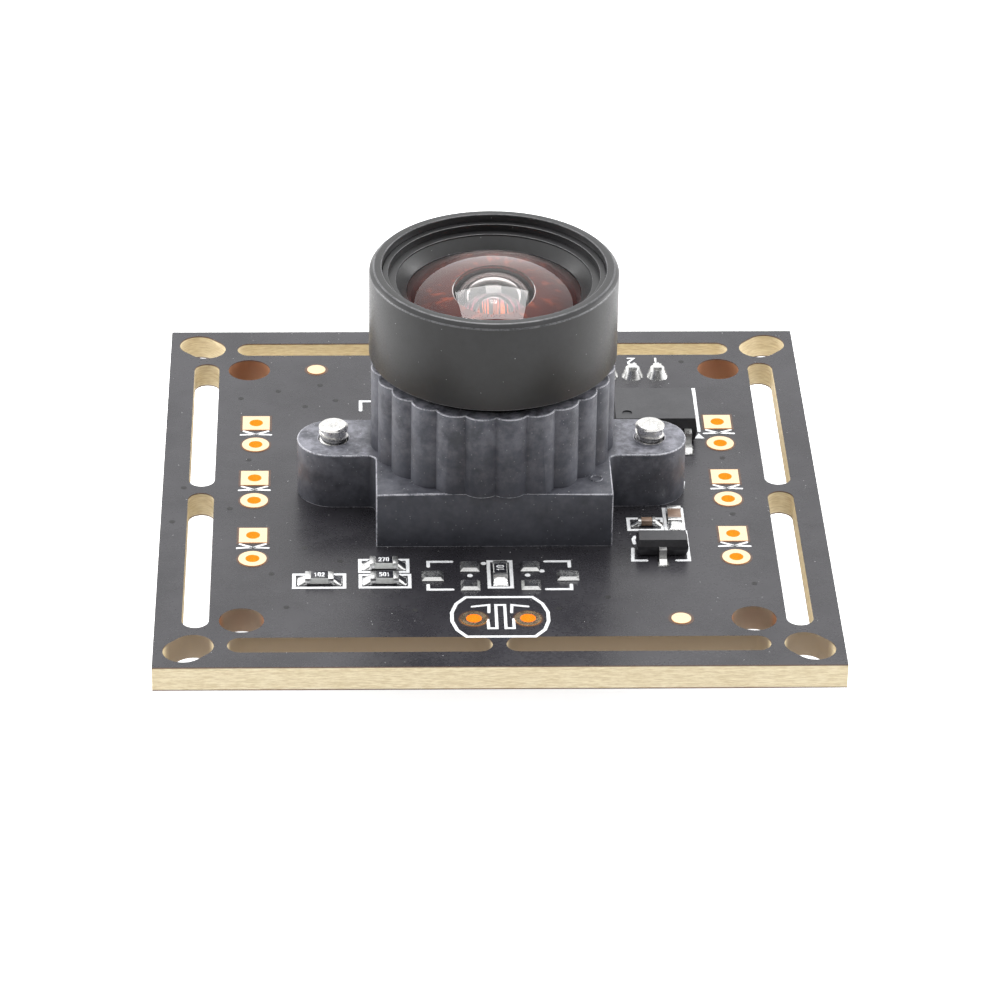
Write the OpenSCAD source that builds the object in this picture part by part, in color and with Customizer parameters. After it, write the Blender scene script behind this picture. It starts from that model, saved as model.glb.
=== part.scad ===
// Board camera: a square circuit board that carries a screw-in lens in a moulded mount.
// The origin is the centre of the board's underside, on the lens axis.
// +Z points out of the lens, and -Y is the front edge, where the small parts are.

/* [Board] */
// Side of the inner board, which is left when the outer frame is snapped off
inner_size = 32; // [30:0.5:34]
// Width of the snap-off frame, slots included
frame_w = 3; // [2.8:0.1:5]
// Thickness of the board
board_t = 1.5; // [0.8:0.1:2]
// Width of the routed slots between the inner board and the frame
slot_w = 1.5; // [0.8:0.1:1.8]
// Width of the web in the middle of each side
web_w = 0.75; // [0.5:0.05:2]
// Distance from a slot's outer end to the corner of the inner board
slot_stop = 1.05; // [0.9:0.05:3]

/* [Mounting holes] */
// Diameter of the four round holes of the inner board
inner_hole_d = 2.5; // [2:0.1:3]
// Distance of the round holes from the sides of the inner board
inner_hole_inset = 1.8; // [1.7:0.1:3]
// Width of the four short slots in the corners of the frame
corner_hole_w = 2.3; // [1.6:0.1:2.4]
// How far each corner slot is stretched along its diagonal
corner_hole_stretch = 0.7; // [0:0.1:0.8]
// Distance of the corner slots outside the inner board, along X and Y
corner_hole_out = 1.07; // [0.9:0.05:1.2]

/* [Plated pads] */
// Thickness of a pad above the board
pad_t = 0.04; // [0.02:0.01:0.1]
// Thickness of the plated wall in a hole
plating_t = 0.05; // [0.02:0.01:0.1]
// Side or diameter of a lamp pad
lamp_pad = 1.6; // [1.2:0.1:1.9]
// Drilled hole in a lamp pad
lamp_hole_d = 0.9; // [0.6:0.05:1]
// Distance between the two pads of one lamp
lamp_pad_pitch = 2.54; // [2:0.01:2.6]
// Distance between lamps along a side
lamp_pitch = 6.43; // [5:0.1:7.5]
// Number of lamps along a side
lamp_count = 3; // [1:1:3]
// Distance of the lamp pads from the side of the inner board
lamp_inset = 2.31; // [1.5:0.05:2.8]
// Place of the light sensor's footprint
light_sensor_pos = [0.15, -14.15];
// Distance between the light sensor's pads
light_sensor_pitch = 3; // [2:0.1:4]
// Diameter of the light sensor's pads
light_sensor_pad = 1.5; // [1.1:0.1:1.8]
// Drilled hole in a light sensor pad
light_sensor_hole_d = 0.95; // [0.6:0.05:1]
// Diameter of the round alignment dots
fiducial_d = 1.1; // [0.5:0.1:2]
// Place of one alignment dot; the other lies opposite
fiducial_pos = [-10.15, 14.2];

/* [Lens mount] */
// Width of the mount's square foot
foot_w = 13.4; // [13:0.1:15]
// Depth of the mount's square foot
foot_d = 13; // [12.6:0.1:14]
// Height of the foot and its ears
foot_h = 3.45; // [3.2:0.05:5]
// Distance between the two ear screws
ear_pitch = 18.2; // [17.6:0.1:20]
// Radius of the ears' round ends
ear_r = 2.1; // [1.7:0.05:2.4]
// Fillet between an ear and the foot
ear_fillet = 0.4; // [0.1:0.05:0.8]
// Height of the fluted collar above the foot
collar_h = 5.1; // [4:0.1:7]
// Thinnest wall of the collar, at the bottom of a flute
collar_wall = 0.63; // [0.4:0.01:0.8]
// Number of lobes round the collar
lobe_count = 24; // [16:1:30]
// Radius of each lobe
lobe_r = 1.2; // [1:0.05:1.6]
// How far the lobes are turned from the front
lobe_turn = 7.5; // [0:0.5:15]
// Depth of the cavity over the image sensor
cavity_h = 2.2; // [2:0.1:2.6]
// Thickness of the floor between cavity and thread
floor_t = 0.6; // [0.5:0.05:0.9]
// Side of the square window in the floor
window_w = 6.8; // [5:0.1:7.4]
// Outer diameter of the raised ring mark on the foot
ring_mark_d = 0.75; // [0.4:0.05:0.9]
// Height and wall of the raised ring mark
ring_mark_t = 0.08; // [0.04:0.01:0.12]
// Distance of the ring mark from the foot's side
ring_mark_side = 0.9; // [0.6:0.05:1.2]
// Distance of the ring mark from the foot's front
ring_mark_front = 1.75; // [1.2:0.05:1.9]

/* [Ear screws] */
// Thread diameter of the ear screws
screw_d = 1.7; // [1.4:0.1:2]
// Head diameter of the ear screws
screw_head_d = 3.1; // [2.4:0.1:3.6]
// Head height of the ear screws
screw_head_h = 1; // [0.6:0.1:1.4]
// How far the screw tips stand out of the ears
screw_tip = 0.9; // [0.2:0.1:1.4]
// Width of the cross recess's arms
recess_w = 0.4; // [0.3:0.05:0.6]
// Width across the cross recess
recess_span = 1.7; // [1.2:0.1:2]
// Depth of the cross recess
recess_depth = 0.55; // [0.3:0.05:0.7]

/* [Lens barrel] */
// Diameter of the lens thread
thread_d = 12; // [11.5:0.1:12.4]
// Height of the barrel's lower end above the mount's floor
barrel_lift = 0.7; // [0.6:0.05:1]
// Gap between the collar and the lens head
head_gap = 0.64; // [0.52:0.02:1.5]
// How far the lens head stands out past the collar's lobes
head_overhang = 0.07; // [0:0.01:0.4]
// Height of the lens head
head_h = 5.4; // [4.6:0.1:6.5]
// Chamfer round the rim of the head
rim_chamfer = 0.25; // [0.05:0.05:0.3]
// Width of the head's rim outside the front ring
rim_w = 0.72; // [0.5:0.02:0.9]
// Width of the step under the front ring, outside the front element
seat_w = 0.35; // [0.2:0.05:0.5]
// Depth of the front ring's top face below the rim
ring_sink = 0.45; // [0.1:0.05:0.6]
// Height of the front ring
ring_h = 1.19; // [1.05:0.02:1.6]
// Width of the front ring's upper step
ring_step_1 = 0.33; // [0.1:0.01:0.4]
// Width of the front ring's lower step
ring_step_2 = 0.44; // [0.1:0.01:0.5]
// Height of each step
ring_step_h = 0.42; // [0.2:0.01:0.45]
// Height of the wall between the lower step and the cone
ring_wall_h = 0.1; // [0.05:0.01:0.12]
// Thickness of the front ring where its cone ends over the glass
ring_edge_t = 0.06; // [0.04:0.01:0.1]
// Thickness of the barrel's lip under the rear element
lip_t = 0.5; // [0.3:0.05:0.8]
// Width of the barrel's lip
lip_w = 1.15; // [0.6:0.05:1.4]

/* [Glass] */
// Clear diameter of the front element's crown
front_clear_d = 9.9; // [8.6:0.1:10]
// Thickness of the front element's rim
front_rim_t = 1; // [0.8:0.05:1.2]
// Radius of the front element's outer surface
front_curve = 8.8; // [8:0.1:14]
// Radius of the front element's inner surface
front_hollow = 3.4; // [3.3:0.05:3.6]
// Diameter of the hollow in the front element's back
front_hollow_d = 5.4; // [4.6:0.1:5.6]
// Outer diameter of the inner elements and spacers
cell_d = 7.9; // [7.4:0.1:8.4]
// Thickness of the middle element's rim
middle_rim_t = 1.3; // [0.8:0.05:1.6]
// Radius of the middle element's crown
middle_curve = 2.4; // [2.2:0.05:4]
// Diameter of the middle element's crown
middle_crown_d = 4.1; // [3:0.1:4.3]
// Thickness of the rear element's rim
rear_rim_t = 1.4; // [1:0.05:2]
// Radius of the rear element's crown
rear_curve = 6; // [5:0.1:10]
// Diameter of the rear element's crown
rear_crown_d = 4.8; // [3:0.1:5.6]
// Thickness of the aperture stop
stop_t = 0.1; // [0.05:0.01:0.2]
// Diameter of the aperture
stop_d = 1.8; // [1:0.1:3]
// Height of the spacer between rear element and stop
rear_spacer_h = 1.7; // [1.2:0.1:2]
// Height of the spacer under the front element
front_spacer_h = 1.16; // [1:0.02:1.6]
// Wall of the spacers at their narrow end
spacer_wall = 1.25; // [0.8:0.05:1.5]

/* [Image sensor] */
// Side of the infrared filter plate
filter_w = 8.4; // [7.8:0.1:9]
// Thickness of the infrared filter plate
filter_t = 0.3; // [0.2:0.05:0.4]
// Side of the sensor package
sensor_w = 9; // [8.6:0.1:9.4]
// Height of the sensor package
sensor_h = 0.9; // [0.7:0.05:1.2]
// Width and depth of the sensor die
die_size = [5.4, 4.2];
// Thickness of the sensor die
die_t = 0.3; // [0.2:0.05:0.4]
// Gap between the die and the walls of its pocket
die_gap = 0.5; // [0.3:0.05:0.7]
// Thickness of the package's floor under the die
sensor_floor_t = 0.35; // [0.2:0.05:0.4]
// Thickness of the sensor's glass window
sensor_glass_t = 0.4; // [0.2:0.05:0.5]
// How far the glass window overlaps the package round the pocket
sensor_glass_lap = 0.5; // [0.2:0.05:0.7]

/* [Chip resistors and capacitors] */
// Length, width and height of the larger chips
chip_large = [1.6, 0.8, 0.4];
// Length, width and height of the smaller chips
chip_small = [1, 0.5, 0.35];
// Share of a chip's length that is plated at each end
chip_end = 0.19; // [0.1:0.01:0.3]
// How far the plated ends stand proud of a chip's body
chip_end_proud = 0.02; // [0.01:0.01:0.05]
// How far the solder fillets reach past a chip's ends
solder_reach = 0.45; // [0.2:0.05:0.6]
// Share of a chip's height that the solder climbs
solder_climb = 0.75; // [0.4:0.05:0.9]
// Thickness of the copper lands and solder under the parts
land_t = 0.05; // [0.03:0.01:0.1]
// Place of the left resistor
left_resistor_pos = [-9.9, -10.15];
// Place of the upper resistor of the pair
upper_resistor_pos = [-6.28, -8.55];
// Place of the lower resistor of the pair
lower_resistor_pos = [-6.25, -10.15];
// Place of the upright resistor in the middle
centre_resistor_pos = [0.25, -9.5];
// Place of the small capacitor beside the ear
small_capacitor_pos = [8.8, -4.1];
// Place of the large capacitor beside the ear
large_capacitor_pos = [10.42, -3.5];

/* [Empty footprints] */
// Centres of the two empty three-pad footprints
empty_pos_x = [-2.5, 3];
// Place of the empty footprints along Y
empty_pos_y = -9.7; // [-10.2:0.1:-9.4]
// Distance between the single pad and the pair
empty_span = 2.1; // [1.8:0.1:2.4]
// Distance between the two pads of the pair
empty_pitch = 2; // [1.6:0.1:2.2]
// Width and depth of a pad
empty_pad = [1.1, 1];
// Height of the solder on an empty pad
empty_solder_t = 0.16; // [0.08:0.01:0.3]

/* [Transistor and memory chip] */
// Place of the transistor
transistor_pos = [9.5, -7.1];
// Length, depth and height of the transistor's body
transistor_size = [2.9, 1.3, 1];
// Distance between the two rear leads of the transistor
transistor_pitch = 1.9; // [1.6:0.1:2]
// Width across the transistor's leads
transistor_span = 2.4; // [2.2:0.1:2.8]
// Place of the memory chip
memory_pos = [9.85, 7.25];
// Length, depth and height of the memory chip's body
memory_size = [4.9, 3.9, 1.45];
// Distance between the memory chip's leads
memory_pitch = 1.27; // [1:0.01:1.4]
// Width across the memory chip's leads
memory_span = 6; // [5.6:0.1:6.2]
// Number of leads on each side of the memory chip
memory_lead_count = 4; // [2:1:4]
// Gap between a chip package and the board
standoff = 0.12; // [0.05:0.01:0.2]
// Slope of the sides of a moulded package, as inset at the top
package_draft = 0.12; // [0.02:0.01:0.2]
// Width of a lead
lead_w = 0.42; // [0.3:0.02:0.5]
// Thickness of a lead
lead_t = 0.2; // [0.1:0.01:0.24]
// Share of a lead's reach that lies flat on its land
foot_share = 0.55; // [0.35:0.05:0.6]
// How far a land stands out on each side of its lead
land_margin = 0.1; // [0.05:0.05:0.2]
// Diameter of the dimple that marks the first lead
dimple_d = 0.6; // [0.4:0.05:0.9]
// Depth of the dimple
dimple_depth = 0.08; // [0.04:0.01:0.12]
// Distance of the dimple from the package's sides
dimple_inset = 0.8; // [0.6:0.05:1]

/* [Connector] */
// Place of the middle of the connector's pin row
connector_pos = [8.2, 13.4];
// Number of pins
pin_count = 4; // [2:1:4]
// Distance between pins
pin_pitch = 1.5; // [1.25:0.05:2]
// Width of a square pin
pin_w = 0.5; // [0.4:0.05:0.6]
// Drilled hole for a pin
pin_hole_d = 0.85; // [0.75:0.05:1]
// How far the pins stand out of the board
pin_tail = 0.7; // [0.5:0.05:1]
// Depth of the pins' tips below the housing's mouth
pin_sink = 0.5; // [0.3:0.05:1]
// Diameter of the solder round a pin
pin_joint_d = 1.3; // [1.1:0.05:1.45]
// Diameter of that solder where it ends on the pin
pin_joint_tip_d = 0.84; // [0.8:0.02:1]
// Height of the solder round a pin
pin_joint_h = 0.55; // [0.3:0.05:0.65]
// Distance from the outer pins to the ends of the housing
housing_end = 1.5; // [1.2:0.05:2]
// Depth of the connector's housing
housing_d = 3.5; // [3:0.1:4]
// Height of the connector's housing
housing_h = 4.2; // [3.4:0.1:5]
// Wall of the connector's housing
housing_wall = 0.5; // [0.3:0.05:0.6]
// Floor of the connector's housing
housing_floor_t = 0.9; // [0.6:0.1:1.2]
// Width of the two keying slots in the housing's wall
key_slot_w = 0.8; // [0.5:0.1:1.2]
// Distance of the keying slots from the middle
key_slot_out = 2; // [1.5:0.1:2.4]

/* [Underside parts] */
// Place of the controller chip
controller_pos = [-0.5, -1];
// Side of the controller chip
controller_w = 7; // [5:0.5:9]
// Height of the controller chip
controller_h = 0.85; // [0.6:0.05:1.2]
// How far the controller's solder lies inside its edge
controller_land_in = 0.2; // [0.1:0.05:0.4]
// Place of the crystal
crystal_pos = [-9, -8.5];
// Length, depth and height of the crystal's can
crystal_size = [3.2, 2.5, 0.7];
// Width of the crystal's base outside its lid
crystal_brim = 0.15; // [0.1:0.05:0.3]
// Height of the crystal's base
crystal_base_h = 0.25; // [0.15:0.05:0.4]
// Place of the voltage regulator
regulator_pos = [8.5, -8];
// Length, depth and height of the regulator's body
regulator_size = [2.9, 1.6, 1.1];
// Distance between the regulator's leads
regulator_pitch = 0.95; // [0.8:0.01:1]
// Width across the regulator's leads
regulator_span = 2.8; // [2.6:0.1:3.2]
// Distance between the small capacitors in a row
bypass_pitch = 2.4; // [1.5:0.1:3]
// Number of small capacitors in each row
bypass_count = 4; // [1:1:5]
// Distance of the rows from the controller's sides
bypass_gap = 1.4; // [1:0.1:2]

/* [Fits] */
// Gap between the lens thread and the mount's bore
thread_gap = 0.05; // [0.02:0.01:0.1]
// Gap between the front ring and the head
ring_gap = 0.03; // [0.01:0.01:0.05]
// Gap round the glass and spacers in the barrel
cell_gap = 0.02; // [0.01:0.01:0.05]
// Gap round the infrared filter in its recess
filter_gap = 0.05; // [0.02:0.01:0.1]
// Gap between the sensor package and the walls of the cavity
cavity_gap = 0.7; // [0.3:0.05:0.9]
// Gap between an ear screw and its hole in the board
screw_gap = 0.15; // [0.05:0.05:0.3]
// Gap between an ear screw and its hole in the ear
ear_gap = 0.02; // [0.01:0.01:0.05]
// Gap between a pin and its hole in the connector housing
pin_gap = 0.01; // [0:0.01:0.03]

/* [Hidden] */
$fn = 64;
eps = 0.01;

board_size = inner_size + 2 * frame_w;
slot_line = (inner_size + slot_w) / 2;
slot_end = inner_size / 2 - slot_stop;
inner_hole_at = inner_size / 2 - inner_hole_inset;
corner_hole_at = inner_size / 2 + corner_hole_out;
lamp_x = inner_size / 2 - lamp_inset;

bore_r = thread_d / 2 + thread_gap;
valley_r = bore_r + collar_wall;
half_lobe = 180 / lobe_count;
lobe_centre_r = valley_r * cos(half_lobe) - sqrt(pow(lobe_r, 2) - pow(valley_r * sin(half_lobe), 2));
crest_r = lobe_centre_r + lobe_r;
foot_top = board_t + foot_h;
collar_top = foot_top + collar_h;
cavity_w = sensor_w + 2 * cavity_gap;
floor_bottom = board_t + cavity_h;
floor_top = floor_bottom + floor_t;
ear_x = ear_pitch / 2;
ear_hole_r = screw_d / 2 + ear_gap;
board_screw_r = screw_d / 2 + screw_gap;

barrel_bottom = floor_top + barrel_lift;
head_bottom = collar_top + head_gap;
head_top = head_bottom + head_h;
head_r = crest_r + head_overhang;
cell_r = cell_d / 2;
cell_bore_r = cell_r + cell_gap;
ring_bore_r = head_r - rim_w;
ring_r = ring_bore_r - ring_gap;
ring_top = head_top - ring_sink;
ring_bottom = ring_top - ring_h;
front_r = ring_r - seat_w;
shoulder = ring_bottom - front_rim_t;
middle_top = shoulder - front_spacer_h;
middle_bottom = middle_top - middle_rim_t;
rear_bottom = barrel_bottom + lip_t;
rear_top = rear_bottom + rear_rim_t;
stop_bottom = rear_top + rear_spacer_h;
stop_top = stop_bottom + stop_t;
spacer_bore_r = cell_r - spacer_wall;

sensor_top = board_t + sensor_h;
pocket_size = [die_size.x + 2 * die_gap, die_size.y + 2 * die_gap];
glass_size = [pocket_size.x + 2 * sensor_glass_lap, pocket_size.y + 2 * sensor_glass_lap];
housing_w = (pin_count - 1) * pin_pitch + 2 * housing_end;
bypass_y = controller_w / 2 + bypass_gap;

pin_xs = [for (i = [0:pin_count - 1]) connector_pos.x + (i - (pin_count - 1) / 2) * pin_pitch];
signs = [-1, 1];
mask_black = [0.2, 0.2, 0.21];
gold = [0.93, 0.78, 0.45];
tin = [0.82, 0.82, 0.8];
plastic_grey = [0.34, 0.34, 0.38];
lens_black = [0.17, 0.17, 0.18];
package_black = [0.12, 0.12, 0.13];
glass_tint = [0.62, 0.32, 0.26, 0.6];

// ---- shared shapes ----

// A rectangle's block with its centre over the origin
module block(size, h) {
  translate([-size.x / 2, -size.y / 2, 0]) cube([size.x, size.y, h]);
}

// A slot cutter: its length is measured between the centres of its round ends
module slot_cut(length, width, depth) {
  for (s = signs) translate([s * length / 2, 0, 0]) cylinder(d = width, h = depth);
  block([length, width], depth);
}

// A pad on both faces of the board, joined by the plated wall of its hole
module plated_pad(size, hole_d, square_pad) {
  difference() {
    union() {
      for (z = [-pad_t, board_t]) translate([0, 0, z])
        if (square_pad) block([size, size], pad_t); else cylinder(d = size, h = pad_t);
      cylinder(d = hole_d, h = board_t);
    }
    translate([0, 0, -1]) cylinder(d = hole_d - 2 * plating_t, h = board_t + 2);
  }
}

// A ceramic chip with a plated cap at each end, standing on its lands
module chip(size) {
  end = chip_end * size.x;
  translate([0, 0, land_t]) {
    translate([0, 0, chip_end_proud])
      block([size.x - end, size.y - 2 * chip_end_proud], size.z - 2 * chip_end_proud);
    for (s = signs) translate([s * (size.x - end) / 2, 0, 0]) block([end, size.y], size.z);
  }
}

// The land and solder fillet at each end of a chip
module chip_joints(size) {
  tuck = chip_end * size.x;
  rise = land_t + solder_climb * size.z;
  for (s = [0, 180]) rotate(s) translate([size.x / 2, size.y / 2, 0]) rotate([90, 0, 0])
    linear_extrude(size.y) polygon([
      [-tuck, 0], [solder_reach, 0], [solder_reach, land_t],
      [solder_reach * 0.45, land_t + (rise - land_t) * 0.35], [0, rise], [0, land_t], [-tuck, land_t]
    ]);
}

// A moulded package: its sides slope in above and below a band as thick as the leads
module package(size) {
  translate([0, 0, standoff]) intersection() {
    rotate([90, 0, 0]) linear_extrude(size.y, center = true) package_profile(size.x, size.z);
    rotate([90, 0, 90]) linear_extrude(size.x, center = true) package_profile(size.y, size.z);
  }
}

module package_profile(width, height) {
  half = width / 2;
  inset = half - package_draft;
  band = [(height - lead_t) / 2, (height + lead_t) / 2];
  polygon([
    [-inset, 0], [inset, 0], [half, band[0]], [half, band[1]],
    [inset, height], [-inset, height], [-half, band[1]], [-half, band[0]]
  ]);
}

// A bent lead: it leaves the body at mid height, drops, and ends in a flat foot
module bent_lead(body_half, span_half, exit_z) {
  foot = (span_half - body_half) * foot_share;
  knee = span_half - foot;
  translate([lead_w / 2, 0, 0]) rotate([90, 0, -90]) linear_extrude(lead_w) polygon([
    [-body_half, exit_z + lead_t / 2], [-body_half, exit_z - lead_t / 2],
    [-knee + lead_t / 2, exit_z - lead_t / 2], [-knee + lead_t / 2, land_t + lead_t],
    [-knee + lead_t / 2, land_t], [-span_half, land_t], [-span_half, land_t + lead_t],
    [-knee - lead_t / 2, land_t + lead_t], [-knee - lead_t / 2, exit_z + lead_t / 2]
  ]);
}

// The land and solder under a lead's foot
module lead_joint(body_half, span_half) {
  foot = (span_half - body_half) * foot_share;
  land_w = lead_w + 2 * land_margin;
  translate([-land_w / 2, span_half - foot, 0]) cube([land_w, foot + solder_reach, land_t]);
  translate([-lead_w / 2, span_half, 0]) rotate([90, 0, 90])
    linear_extrude(lead_w) polygon([[0, 0], [solder_reach * 0.8, 0], [0, land_t + lead_t]]);
}

// A glass disc with a spherical crown on top
module crowned_disc(r, rim_t, crown_r, curve) {
  cylinder(r = r, h = rim_t);
  intersection() {
    cylinder(r = crown_r, h = rim_t + curve);
    translate([0, 0, rim_t - sqrt(pow(curve, 2) - pow(crown_r, 2))]) sphere(curve, $fn = 96);
  }
}

module spacer(h) {
  difference() {
    cylinder(r = cell_r, h = h);
    translate([0, 0, -1]) cylinder(r = spacer_bore_r, h = h + 2);
  }
}

module at_ears() {
  for (s = signs) translate([s * ear_x, 0, 0]) children();
}

module at_lamps() {
  for (s = signs, i = [0:lamp_count - 1])
    translate([s * lamp_x, (i - (lamp_count - 1) / 2) * lamp_pitch, 0]) children();
}

module at_bypass() {
  for (s = signs, i = [0:bypass_count - 1]) translate([
    controller_pos.x + (i - (bypass_count - 1) / 2) * bypass_pitch,
    controller_pos.y + s * bypass_y, 0
  ]) children();
}

// Places what is modelled upright on the board's underside
module under_board() {
  mirror([0, 0, 1]) children();
}

// ---- board ----

module circuit_board() {
  color(mask_black) difference() {
    translate([-board_size / 2, -board_size / 2, 0]) cube([board_size, board_size, board_t]);
    translate([0, 0, -1]) board_cuts(board_t + 2);
  }
}

module board_cuts(depth) {
  slot_from = web_w / 2;
  slot_length = slot_end - slot_from - slot_w;
  for (turn = [0:90:270], s = signs) rotate(turn)
    translate([s * (slot_from + slot_end) / 2, slot_line, 0]) slot_cut(slot_length, slot_w, depth);
  for (x = signs, y = signs) {
    translate([x * inner_hole_at, y * inner_hole_at, 0]) cylinder(d = inner_hole_d, h = depth);
    translate([x * corner_hole_at, y * corner_hole_at, 0]) rotate(x * y * 45)
      slot_cut(corner_hole_stretch, corner_hole_w, depth);
  }
  at_lamps() for (s = signs) translate([0, s * lamp_pad_pitch / 2, 0])
    cylinder(d = lamp_hole_d, h = depth);
  for (s = signs) translate([light_sensor_pos.x + s * light_sensor_pitch / 2, light_sensor_pos.y, 0])
    cylinder(d = light_sensor_hole_d, h = depth);
  for (x = pin_xs) translate([x, connector_pos.y, 0]) cylinder(d = pin_hole_d, h = depth);
  at_ears() cylinder(r = board_screw_r, h = depth);
}

module lamp_pads() {
  color(gold) at_lamps() for (s = signs) translate([0, s * lamp_pad_pitch / 2, 0])
    plated_pad(lamp_pad, lamp_hole_d, s > 0);
}

module light_sensor_pads() {
  color(gold) for (s = signs)
    translate([light_sensor_pos.x + s * light_sensor_pitch / 2, light_sensor_pos.y, 0])
    plated_pad(light_sensor_pad, light_sensor_hole_d, false);
}

module fiducials() {
  color(gold) for (s = signs) translate([s * fiducial_pos.x, s * fiducial_pos.y, board_t])
    cylinder(d = fiducial_d, h = pad_t);
}

module empty_pads() {
  color(tin) for (i = [0, 1]) {
    side = i == 0 ? 1 : -1;
    translate([empty_pos_x[i], empty_pos_y, board_t]) {
      translate([-side * empty_span / 2, 0, 0]) tinned_pad([empty_pad.x + 0.15, empty_pad.y]);
      for (s = signs) translate([side * empty_span / 2, s * empty_pitch / 2, 0]) tinned_pad(empty_pad);
    }
  }
}

// A bare land with a low pillow of solder on it
module tinned_pad(size) {
  block(size, pad_t);
  translate([0, 0, pad_t]) linear_extrude(empty_solder_t, scale = 0.7)
    square([size.x, size.y], center = true);
}

// ---- small parts on the top side ----

module left_resistor() {
  color(package_black) translate([left_resistor_pos.x, left_resistor_pos.y, board_t]) chip(chip_large);
}

module upper_resistor() {
  color(package_black) translate([upper_resistor_pos.x, upper_resistor_pos.y, board_t]) chip(chip_large);
}

module lower_resistor() {
  color(package_black) translate([lower_resistor_pos.x, lower_resistor_pos.y, board_t]) chip(chip_large);
}

module centre_resistor() {
  color(package_black) translate([centre_resistor_pos.x, centre_resistor_pos.y, board_t])
    rotate(90) chip(chip_large);
}

module small_capacitor() {
  color([0.5, 0.42, 0.34]) translate([small_capacitor_pos.x, small_capacitor_pos.y, board_t])
    chip(chip_small);
}

module large_capacitor() {
  color([0.5, 0.42, 0.34]) translate([large_capacitor_pos.x, large_capacitor_pos.y, board_t])
    rotate(90) chip(chip_large);
}

module chip_solder() {
  color(tin) translate([0, 0, board_t]) {
    for (p = [left_resistor_pos, upper_resistor_pos, lower_resistor_pos])
      translate(p) chip_joints(chip_large);
    for (p = [centre_resistor_pos, large_capacitor_pos])
      translate(p) rotate(90) chip_joints(chip_large);
    translate(small_capacitor_pos) chip_joints(chip_small);
  }
}

module transistor() {
  color(package_black) translate([transistor_pos.x, transistor_pos.y, board_t]) package(transistor_size);
}

// Calls its children at each lead of the transistor, turned so that +Y points out of the body
module at_transistor_leads() {
  translate([transistor_pos.x, transistor_pos.y, board_t]) {
    rotate(180) children();
    for (s = signs) translate([s * transistor_pitch / 2, 0, 0]) children();
  }
}

module transistor_leads() {
  color(tin) at_transistor_leads()
    bent_lead(transistor_size.y / 2, transistor_span / 2, standoff + transistor_size.z / 2);
}

module memory_chip() {
  color(package_black) translate([memory_pos.x, memory_pos.y, board_t]) difference() {
    package(memory_size);
    translate([-memory_size.x / 2 + dimple_inset, -memory_size.y / 2 + dimple_inset,
      standoff + memory_size.z - dimple_depth]) cylinder(d = dimple_d, h = 1);
  }
}

module at_memory_leads() {
  translate([memory_pos.x, memory_pos.y, board_t]) for (turn = [0, 180], i = [0:memory_lead_count - 1])
    rotate(turn) translate([(i - (memory_lead_count - 1) / 2) * memory_pitch, 0, 0]) children();
}

module memory_leads() {
  color(tin) at_memory_leads()
    bent_lead(memory_size.y / 2, memory_span / 2, standoff + memory_size.z / 2);
}

module lead_solder() {
  color(tin) {
    at_transistor_leads() lead_joint(transistor_size.y / 2, transistor_span / 2);
    at_memory_leads() lead_joint(memory_size.y / 2, memory_span / 2);
  }
}

// ---- lens mount ----

// Outline of the fluted collar: lobes that meet in sharp valleys
module collar_outline() {
  circle(r = lobe_centre_r);
  for (i = [0:lobe_count - 1]) rotate(lobe_turn + i * 2 * half_lobe)
    translate([lobe_centre_r, 0]) circle(r = lobe_r, $fn = 48);
}

module foot_outline() {
  square([foot_w, foot_d], center = true);
  for (s = signs) {
    translate([s * ear_x, 0]) circle(r = ear_r);
    translate([s * (foot_w / 2 + ear_x) / 2, 0])
      square([ear_x - foot_w / 2, 2 * ear_r], center = true);
    for (t = signs) translate([s * (foot_w / 2 + ear_fillet / 2), t * (ear_r + ear_fillet / 2)])
      difference() {
        square(ear_fillet, center = true);
        translate([s * ear_fillet / 2, t * ear_fillet / 2]) circle(r = ear_fillet);
      }
  }
}

module lens_mount() {
  color(plastic_grey) difference() {
    union() {
      translate([0, 0, board_t]) linear_extrude(foot_h) foot_outline();
      translate([0, 0, foot_top]) linear_extrude(collar_h) collar_outline();
      ring_mark();
    }
    translate([0, 0, floor_top]) cylinder(r = bore_r, h = collar_top, $fn = 96);
    translate([0, 0, board_t - 1]) block([cavity_w, cavity_w], cavity_h + 1);
    translate([0, 0, board_t]) block([window_w, window_w], floor_top);
    translate([0, 0, floor_bottom - eps])
      block([filter_w + 2 * filter_gap, filter_w + 2 * filter_gap], filter_t + eps);
    at_ears() cylinder(r = ear_hole_r, h = collar_top);
  }
}

module ring_mark() {
  translate([foot_w / 2 - ring_mark_side, ring_mark_front - foot_d / 2, foot_top]) difference() {
    cylinder(d = ring_mark_d, h = ring_mark_t);
    cylinder(d = ring_mark_d - 2 * ring_mark_t, h = 1);
  }
}

module ear_screws() {
  color("silver") at_ears() {
    cylinder(d = screw_d, h = foot_top + screw_tip);
    difference() {
      under_board() intersection() {
        cylinder(d = screw_head_d, h = screw_head_h);
        translate([0, 0, screw_head_h - screw_head_d * 0.75]) sphere(screw_head_d * 0.75);
      }
      for (turn = [45, 135]) rotate(turn) translate([0, 0, -screw_head_h - eps])
        block([recess_span, recess_w], recess_depth + eps);
    }
  }
}

// ---- lens ----

module lens_barrel() {
  color(lens_black) rotate_extrude($fn = 128) polygon([
    [cell_bore_r - lip_w, barrel_bottom], [thread_d / 2, barrel_bottom],
    [thread_d / 2, head_bottom], [head_r, head_bottom],
    [head_r, head_top - rim_chamfer], [head_r - rim_chamfer, head_top],
    [ring_bore_r, head_top], [ring_bore_r, ring_bottom],
    [front_r + cell_gap, ring_bottom], [front_r + cell_gap, shoulder],
    [cell_bore_r, shoulder], [cell_bore_r, rear_bottom], [cell_bore_r - lip_w, rear_bottom]
  ]);
}

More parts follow.
